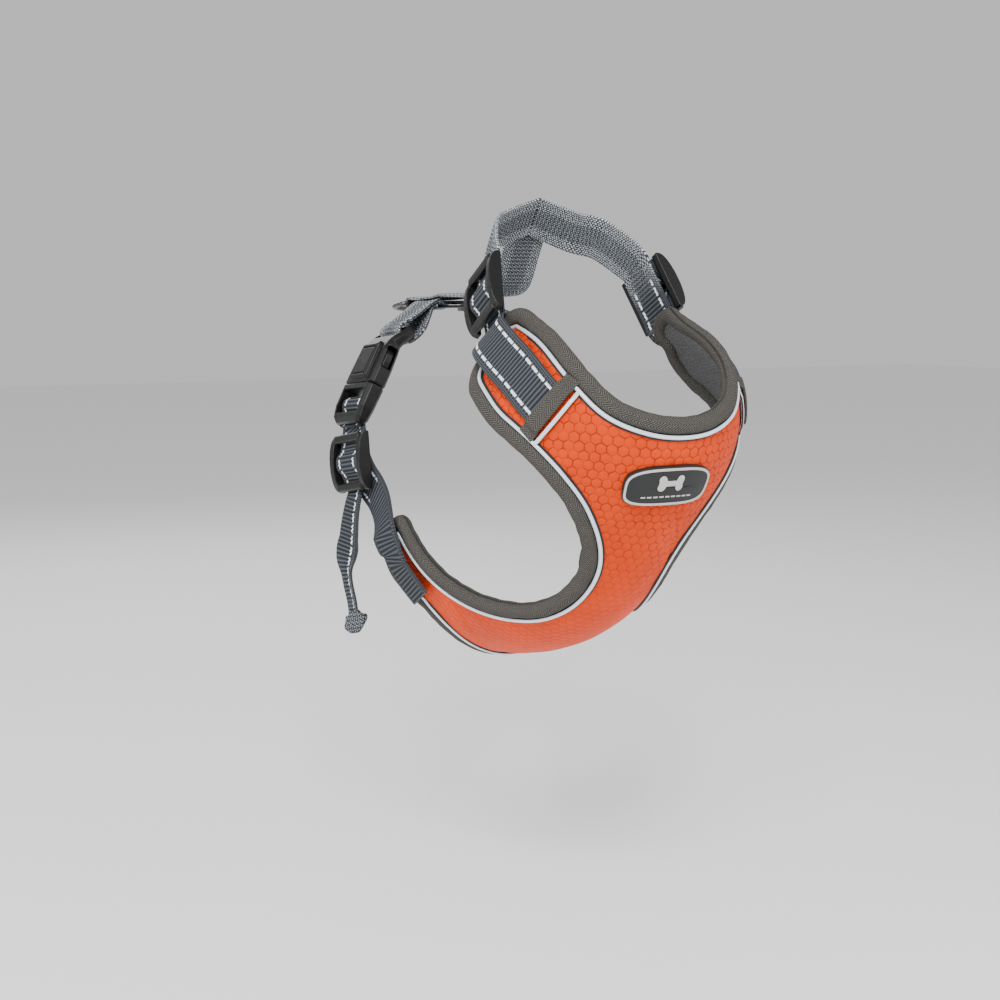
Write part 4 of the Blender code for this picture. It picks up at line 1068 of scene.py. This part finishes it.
female = moulded(
    [hull_run([(-0.2, bw - 0.3, bt - 0.3, 0.0), (-1.0, bw, bt, 0.0), (-MOUTH_RING, bw - 0.2, bt, 0.0),
               (body + 4, bw - 1.0, bt - 0.3, 0.0), (body - 2, bw - 1.8, bt - 1.2, -0.6),
               (reach + 7, bw - 0.6, bt - 1.9, -1.2), (reach + 2.2, bw - 0.6, bt - 1.9, -1.2),
               (reach, bw - 1.8, bt - 2.9, -1.2)]),
     hull_run([(-2.2, 9.6, 1.4, bt + 0.1), (-3.4, 10.6, 1.6, bt + 0.5), (body + 1.6, 9.6, 1.6, bt + 0.4),
               (body - 0.4, 8.4, 1.2, bt - 0.6)], 0.8)],
    [box((body + 0.5, -cavity_w, -cavity_t), (2.0, cavity_w, cavity_t)),
     box((body + 1.2, 10.6, -cavity_t), (-MOUTH_RING, bw + 3, cavity_t)),
     box((body + 1.2, -bw - 3, -cavity_t), (-MOUTH_RING, -10.6, cavity_t)),
     box((reach + 5.2, -WEB_WIDTH / 2 - 0.8, -20), (reach + 11.0, WEB_WIDTH / 2 + 0.8, 20))]
    + frame_cut((body + 3.0, -7.6), (-4.6, 7.6), 0.9, bt + 1.0, bt + 4.0), 0.3, 3, 0.3)
bend_at = body + 1.0
bend_over = 8.0


def bent(points):
    """Curls the bar end of the female half toward the dog."""
    p = np.array(points, float)
    full = math.radians(FEMALE_BEND)
    r = bend_over / full
    d = np.maximum(bend_at - p[:, 0], 0.0)
    turn = np.minimum(d, bend_over) / bend_over * full
    rest = np.maximum(0.0, d - bend_over)
    low = p[:, 2] + r
    along = np.where(d > 0, bend_at - low * np.sin(turn) - rest * np.cos(turn), p[:, 0])
    rise = np.where(d > 0, low * np.cos(turn) - r - rest * np.sin(turn), p[:, 2])
    return np.column_stack([along, p[:, 1], rise])


def on_buckle(points):
    return placed(points, mouth, buckle_run, buckle_wide, buckle_out)


each_side("female_half", (on_buckle(bent(female[0])), female[1]), None, acetal, "harness", ["buckle_female"],
          50)

m0 = FIT
male = moulded(
    [hull_run([(m0, bw - 0.3, bt - 0.2, 0.0), (m0 + 1, bw, bt, 0.0), (MALE_BODY * 0.6, bw, bt - 0.3, 0.0),
               (MALE_BODY - 3, bw - 0.8, bt - 1.1, -0.5), (MALE_BODY, bw - 3.0, bt - 2.6, -1.2)]),
     hull_run([(-23.0, GUIDE_WIDTH / 2 - 1.2, 1.6, 0.0), (-21.0, GUIDE_WIDTH / 2, 2.2, 0.0),
               (m0 + 1, GUIDE_WIDTH / 2, 2.2, 0.0)], 0.8)],
    [box((m0 + 3.6, -WEB_WIDTH / 2 - 0.9, -20), (m0 + 9.7, WEB_WIDTH / 2 + 0.9, 20)),
     box((m0 + 12.4, -WEB_WIDTH / 2 - 0.9, -20), (MALE_BODY - 5.4, WEB_WIDTH / 2 + 0.9, 20)),
     box((m0 + 9.0, -WEB_WIDTH / 2 - 0.9, 0.7), (m0 + 13.0, WEB_WIDTH / 2 + 0.9, 20)),
     box((m0 + 9.0, -WEB_WIDTH / 2 - 0.9, -20), (m0 + 13.0, WEB_WIDTH / 2 + 0.9, -2.0)),
     box((MALE_BODY - 6.0, -WEB_WIDTH / 2 - 0.9, -20), (MALE_BODY + 2, WEB_WIDTH / 2 + 0.9, -0.9))], 0.3, 3,
               0.3)
each_side("male_half", (on_buckle(male[0]), male[1]), None, acetal, "male_half_SIDE", ["buckle_male"],
          50)

arm_thick = cavity_t - 0.35
for tag, sign in (("front", 1.0), ("rear", -1.0)):
    points, faces = moulded(
        [hull_run([(-0.1, 0.9, arm_thick - 0.4, 0.0), (-14.0, 1.2, arm_thick - 0.4, 0.0)], 0.6),
         hull_run([(-MOUTH_RING - 0.5, 2.7, arm_thick, 0.0), (-15.0, 3.0, arm_thick, 0.0),
                   (-20.0, 2.6, arm_thick, 0.0), (body + 3.2, 1.2, arm_thick - 0.5, 0.0)], 1.0)], [], 0.3, 3,
                            0.3)
    lean = np.where(points[:, 0] > -MOUTH_RING, 9.9, 12.6)
    points = np.column_stack([points[:, 0], sign * (points[:, 1] + lean), points[:, 2]])
    faces = [list(f)[::-1] for f in faces] if sign < 0 else faces
    each_side("release_arm_" + tag, (on_buckle(points), faces), None, acetal, tag + "_arm_SIDE",
              ["release_arm_" + tag], 50)

# ---------------------------------------------------------------- girth straps
# The same webbing: sewn to the belly wing, up behind its tri-glide, over the bar of the buckle's male half
# and back down behind itself.
girth_centre = np.array([-77.2, -41.0, -88.8])
girth_run = unit(np.array([-0.01, -0.17, -0.98]))
girth_wide = unit(np.cross(outward(girth_centre), girth_run))
girth_out = np.cross(girth_run, girth_wide)
BUCKLE_LOOP = [(25.2, -2.5), (22.0, -2.4), (19.2, -2.2), (17.4, -1.0), (15.2, 1.0), (13.2, 2.0), (11.3, 2.3),
               (9.4, 1.9), (8.2, 0.7), (7.9, -0.8), (8.4, -2.3), (9.8, -3.3), (11.3, -3.5), (13.6, -3.8),
               (16.4, -4.3), (19.6, -4.6), (24.8, -4.8)]
loop_up = [on_buckle([(a, 0.0, h)])[0] for a, h in BUCKLE_LOOP]
WING_STRAP = [(188.6, -52.9, 1.3), (177.4, -58.2, 1.3), (164.1, -63.4, 1.8), (149, -65.4, 3.6),
              (135.4, -65.2, 6.8),
              (125.6, -63.5, 9.6), (120.2, -61.2, 10.3), (115.8, -59, 10.2), (111.6, -56.6, 10.0),
              (107, -52.8, 9.7),
              (102, -48.8, 9.5), (97.5, -44.8, 9.3), (94.2, -41.2, 9.3)]
wing_down = [skin(*w) for w in WING_STRAP]
girth_path = curve(loop_up + wing_down, 160)
girth_tan = unit(np.gradient(girth_path, axis=0))
loop_count = int(np.argmin(np.linalg.norm(girth_path - wing_down[0], axis=1)))
girth_up = outward(girth_path)
for k in range(loop_count + 1):
    share = min(1.0, max(0.0, (k - loop_count * 0.72) / (loop_count * 0.28)))
    wide = unit(buckle_wide * (1 - share) + girth_wide * share)
    girth_up[k] = np.cross(girth_tan[k], wide)
strap, lay = webbing(girth_path, girth_up, [(0.0, 0.0), (0.5, 0.0), (0.56, -1.0), (1.0, -1.0)])
for side, sign in SIDES:
    p = strap[0] * np.array([sign, 1.0, 1.0])
    piece = make("girth_strap_" + side + "_webbing", p, strap[1] if sign > 0 else [f[::-1] for f in strap[1]],
                 lay, nylon)
    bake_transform(piece)
    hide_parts("girth_strap_" + side)
tri_glide("girth_glide", girth_centre, girth_run, girth_wide, girth_out, "girth_adjuster_SIDE")

# ---------------------------------------------------------------- strap tails
# The spare end of each girth strap hangs from its tri-glide. It is drawn narrow near the bottom, and its
# tip is folded back twice, sewn and heat-sealed.
tail_root = placed([(half + 3.0, 0.0, band_low + 1.4)], girth_centre, girth_run, girth_wide, girth_out)[0]
TAIL_DROP = [(0.0, 0.0, 0.0), (-1.4, 0.2, -6.0), (-2.6, 0.5, -14.0), (-3.6, 1.2, -26.0), (-4.8, 2.2, -38.0),
             (-4.0, 1.6, -50.0), (-2.4, 0.2, -60.0), (-1.8, -0.6, -66.0)]
TAIL_TAPER = curve([(0.0, 0.62, 1.1), (0.2, 0.70, 1.1), (0.42, 0.80, 1.2), (0.56, 0.56, 1.6),
                    (0.68, 0.25, 2.1),
                    (0.82, 0.2, 2.1), (1.0, 0.2, 2.1)], 40)
tail_path = curve([tail_root - girth_run * 3.4 - girth_out * 1.2]
                  + [tail_root + np.array(d) for d in TAIL_DROP], 80)
tail_turn = np.radians(np.interp(np.linspace(0, 1, 80), [0, 0.4, 0.7, 1.0], [0, 0, -38, -40]))
tail_run = unit(np.gradient(tail_path, axis=0))
tail_up = []
for k, (p, t) in enumerate(zip(tail_path, tail_run)):
    w = unit(girth_wide - t * np.dot(girth_wide, t))
    n = np.cross(t, w)
    tail_up.append(n * math.cos(tail_turn[k]) - w * math.sin(tail_turn[k]))
strap, lay = webbing(tail_path, np.array(tail_up), [(0.0, 0.0), (0.5, 0.0), (0.72, 0.35), (1.0, 0.5)],
                     taper=TAIL_TAPER,
                     shown=(-6.5, 12.5))
each_side("strap_tail_webbing", strap, lay, nylon, "tail_SIDE", ["strap_tail"])
end_run = unit(tail_path[-1] - tail_path[-2])
end_up = unit(tail_up[-1] - end_run * np.dot(tail_up[-1], end_run))
end_wide = np.cross(end_up, end_run)
TAB = [(0.2, 2.8, 2.0), (2.6, 4.2, 2.5), (3.4, 6.2, 3.0), (6.5, 6.5, 3.0), (10.0, 5.6, 2.8), (12.0, 4.0, 2.4),
       (13.4, 2.4, 1.7)]
tab_rings, tab_lay = [], []
for a, w, t in curve(TAB, 60):
    ring = oval(w, t, 0.35, 48)
    # the layers of the fold show as grooves round its rim
    layer = np.abs(np.sin(ring[:, 1] / t * math.pi * 1.5))
    ring[:, 0] *= 0.9 + 0.1 * layer
    skew = end_wide * (1.2 * math.sin(a * 0.4)) + end_up * (0.5 * math.sin(a * 0.9))
    tab_rings.append(tail_path[-1] + end_run * a + skew + end_wide * ring[:, :1] + end_up * ring[:, 1:])
    tab_lay.append(np.column_stack([np.full(48, a), ring[:, 0] * 0.9, np.full(48, 0.85)]))
each_side("tail_tab", loft(tab_rings), np.vstack(tab_lay), nylon, "tail_SIDE", ["tail_end_tab"])

# ---------------------------------------------------------------- back: loops, pad, spine strap, ring
# The side straps loop round the female halves' bars and meet on a black pad over the spine. The spine
# strap crosses them and the shoulder straps' ends, and folds round the straight side of the D-ring.
PAD = [(-22.0, 6.5), (-12.0, 9.5), (0.0, 10.5), (11.0, 9.5), (17.0, 7.0)]
pad_rings = []
for y, w in curve(PAD, 30):
    ring = oval(w, 0.55, 0.5, 22)
    drop = 0.5 - ring[:, 0] ** 2 / 95.0 - max(0.0, y) ** 2 / 420.0
    pad_rings.append(np.column_stack([ring[:, 0], np.full(22, y + 4.0), drop + ring[:, 1]]))
pad = make("backing_pad", *loft(pad_rings), look=plastic_finish("pad_rubber", PLASTIC_BLACK, PLASTIC_GREY,
    0.6))
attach(pad, "harness")
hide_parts("back_pad")

bar_at = reach + 2.7
bar_high = -1.2 + bt - 2.4 + 0.8 + WEB_THICK
LOOP_LOCAL = [(bar_at - 8.0, bar_high - 0.6), (bar_at, bar_high), (bar_at + 3.4, bar_high - 0.9),
              (bar_at + 5.1, -1.2),
              (bar_at + 3.4, -2.4 - bar_high + 0.9), (bar_at, -2.4 - bar_high),
              (bar_at - 8.0, -2.4 - bar_high + 0.4)]
loop_points = [np.array([-1.2, 0.0, 2.5]), np.array([-8.0, -0.2, 2.4]), np.array([-16.0, -3.6, 1.6])]
loop_points += list(on_buckle(bent([(a, 0.0, h) for a, h in LOOP_LOCAL])))
loop_points += [np.array([-18.0, -4.0, -2.6]), np.array([-13.5, -2.4, -1.3])]
loop_path = curve(loop_points, 120)
loop_tan = unit(np.gradient(loop_path, axis=0))
lean = np.clip((-loop_path[:, :1] - 6.0) / 18.0, 0.0, 1.0)
loop_wide = unit(np.array([0.0, -1.0, 0.0]) * (1 - lean) + buckle_wide * lean * np.sign(-buckle_wide[1]))
strap, lay = webbing(loop_path, np.cross(loop_tan, loop_wide), 1.0)
each_side("side_loop", strap, lay, nylon, "harness", ["back_loop"])

RING_WIRE = 3.0
RING_INSIDE = 29.0
RING_LEAN = -9.0
ring_bar = np.array([0.0, 27.0, 1.9])
wrap = RING_WIRE / 2 + 0.7 + WEB_THICK / 2
SPINE = [(-84.5, 4.6), (-89, 4.5), (-95, 3.8), (-102, 2.2), (-110, 1.6), (-118, 1.8), (-124, 3.0)]
spine_points = [skin(a, 0.0, lift) for a, lift in SPINE]
spine_points += [np.array([0.0, y, z]) for y, z in ((-15.0, 7.0), (-6.0, 5.8), (8.0, 5.0), (17.0, 4.8))]
spine_points += [ring_bar + wrap * np.array([0.0, math.cos(t), math.sin(t)]) for t in np.radians([80, 40, 0,
    -45, -90])]
spine_points += [ring_bar + np.array([0.0, -3.4, -wrap + 0.3]), ring_bar + np.array([0.0, -5.4, -wrap + 0.8])]
spine_path = curve(spine_points, 200)
spine_tan = unit(np.gradient(spine_path, axis=0))
strap, lay = webbing(spine_path, np.cross(spine_tan, np.array([1.0, 0.0, 0.0])), 0.9)
spine = make("spine_webbing", strap[0], strap[1], lay, nylon)
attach(spine, "harness")
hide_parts("spine_strap")

hw = RING_INSIDE / 2 + RING_WIRE / 2
bow = [(-hw + 3.0, 0.0), (-hw, 1.6), (-hw, 7.5)]
for t in np.linspace(180, 0, 15):
    bow.append((hw * math.cos(math.radians(t)), 9.0 + 13.0 * math.sin(math.radians(t))))
bow += [(hw, 7.5), (hw, 1.6), (hw - 3.0, 0.0)]
bow += [(x, 0.0) for x in np.linspace(hw - 5.0, -hw + 5.0, 6)]
lean = math.radians(RING_LEAN)
ring_path = curve([ring_bar + np.array([x, y * math.cos(lean), y * math.sin(lean)]) for x, y in bow], 141,
                  True)[:-1]
ring_up = np.array([0.0, -math.sin(lean), math.cos(lean)])
ring_side = np.cross(ring_up, unit(np.roll(ring_path, -1, axis=0) - np.roll(ring_path, 1, axis=0)))
wire = oval(RING_WIRE / 2, RING_WIRE / 2, 1.0, 16)
rings = ring_path[:, None] + ring_side[:, None] * wire[:, :1] + ring_up * wire[:, 1:]
steel = Finish("black_nickel", Metallic=1.0, Base_Color=(0.10, 0.10, 0.105, 1))
scratch = steel.noise(450.0, 5.0)
steel.feed(Roughness=0.16 + scratch * 0.3, height=scratch * 0.01)
ring = make("lead_ring", *loft(rings, closed=True), look=steel.look)
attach(ring, "ring")
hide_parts("d_ring")
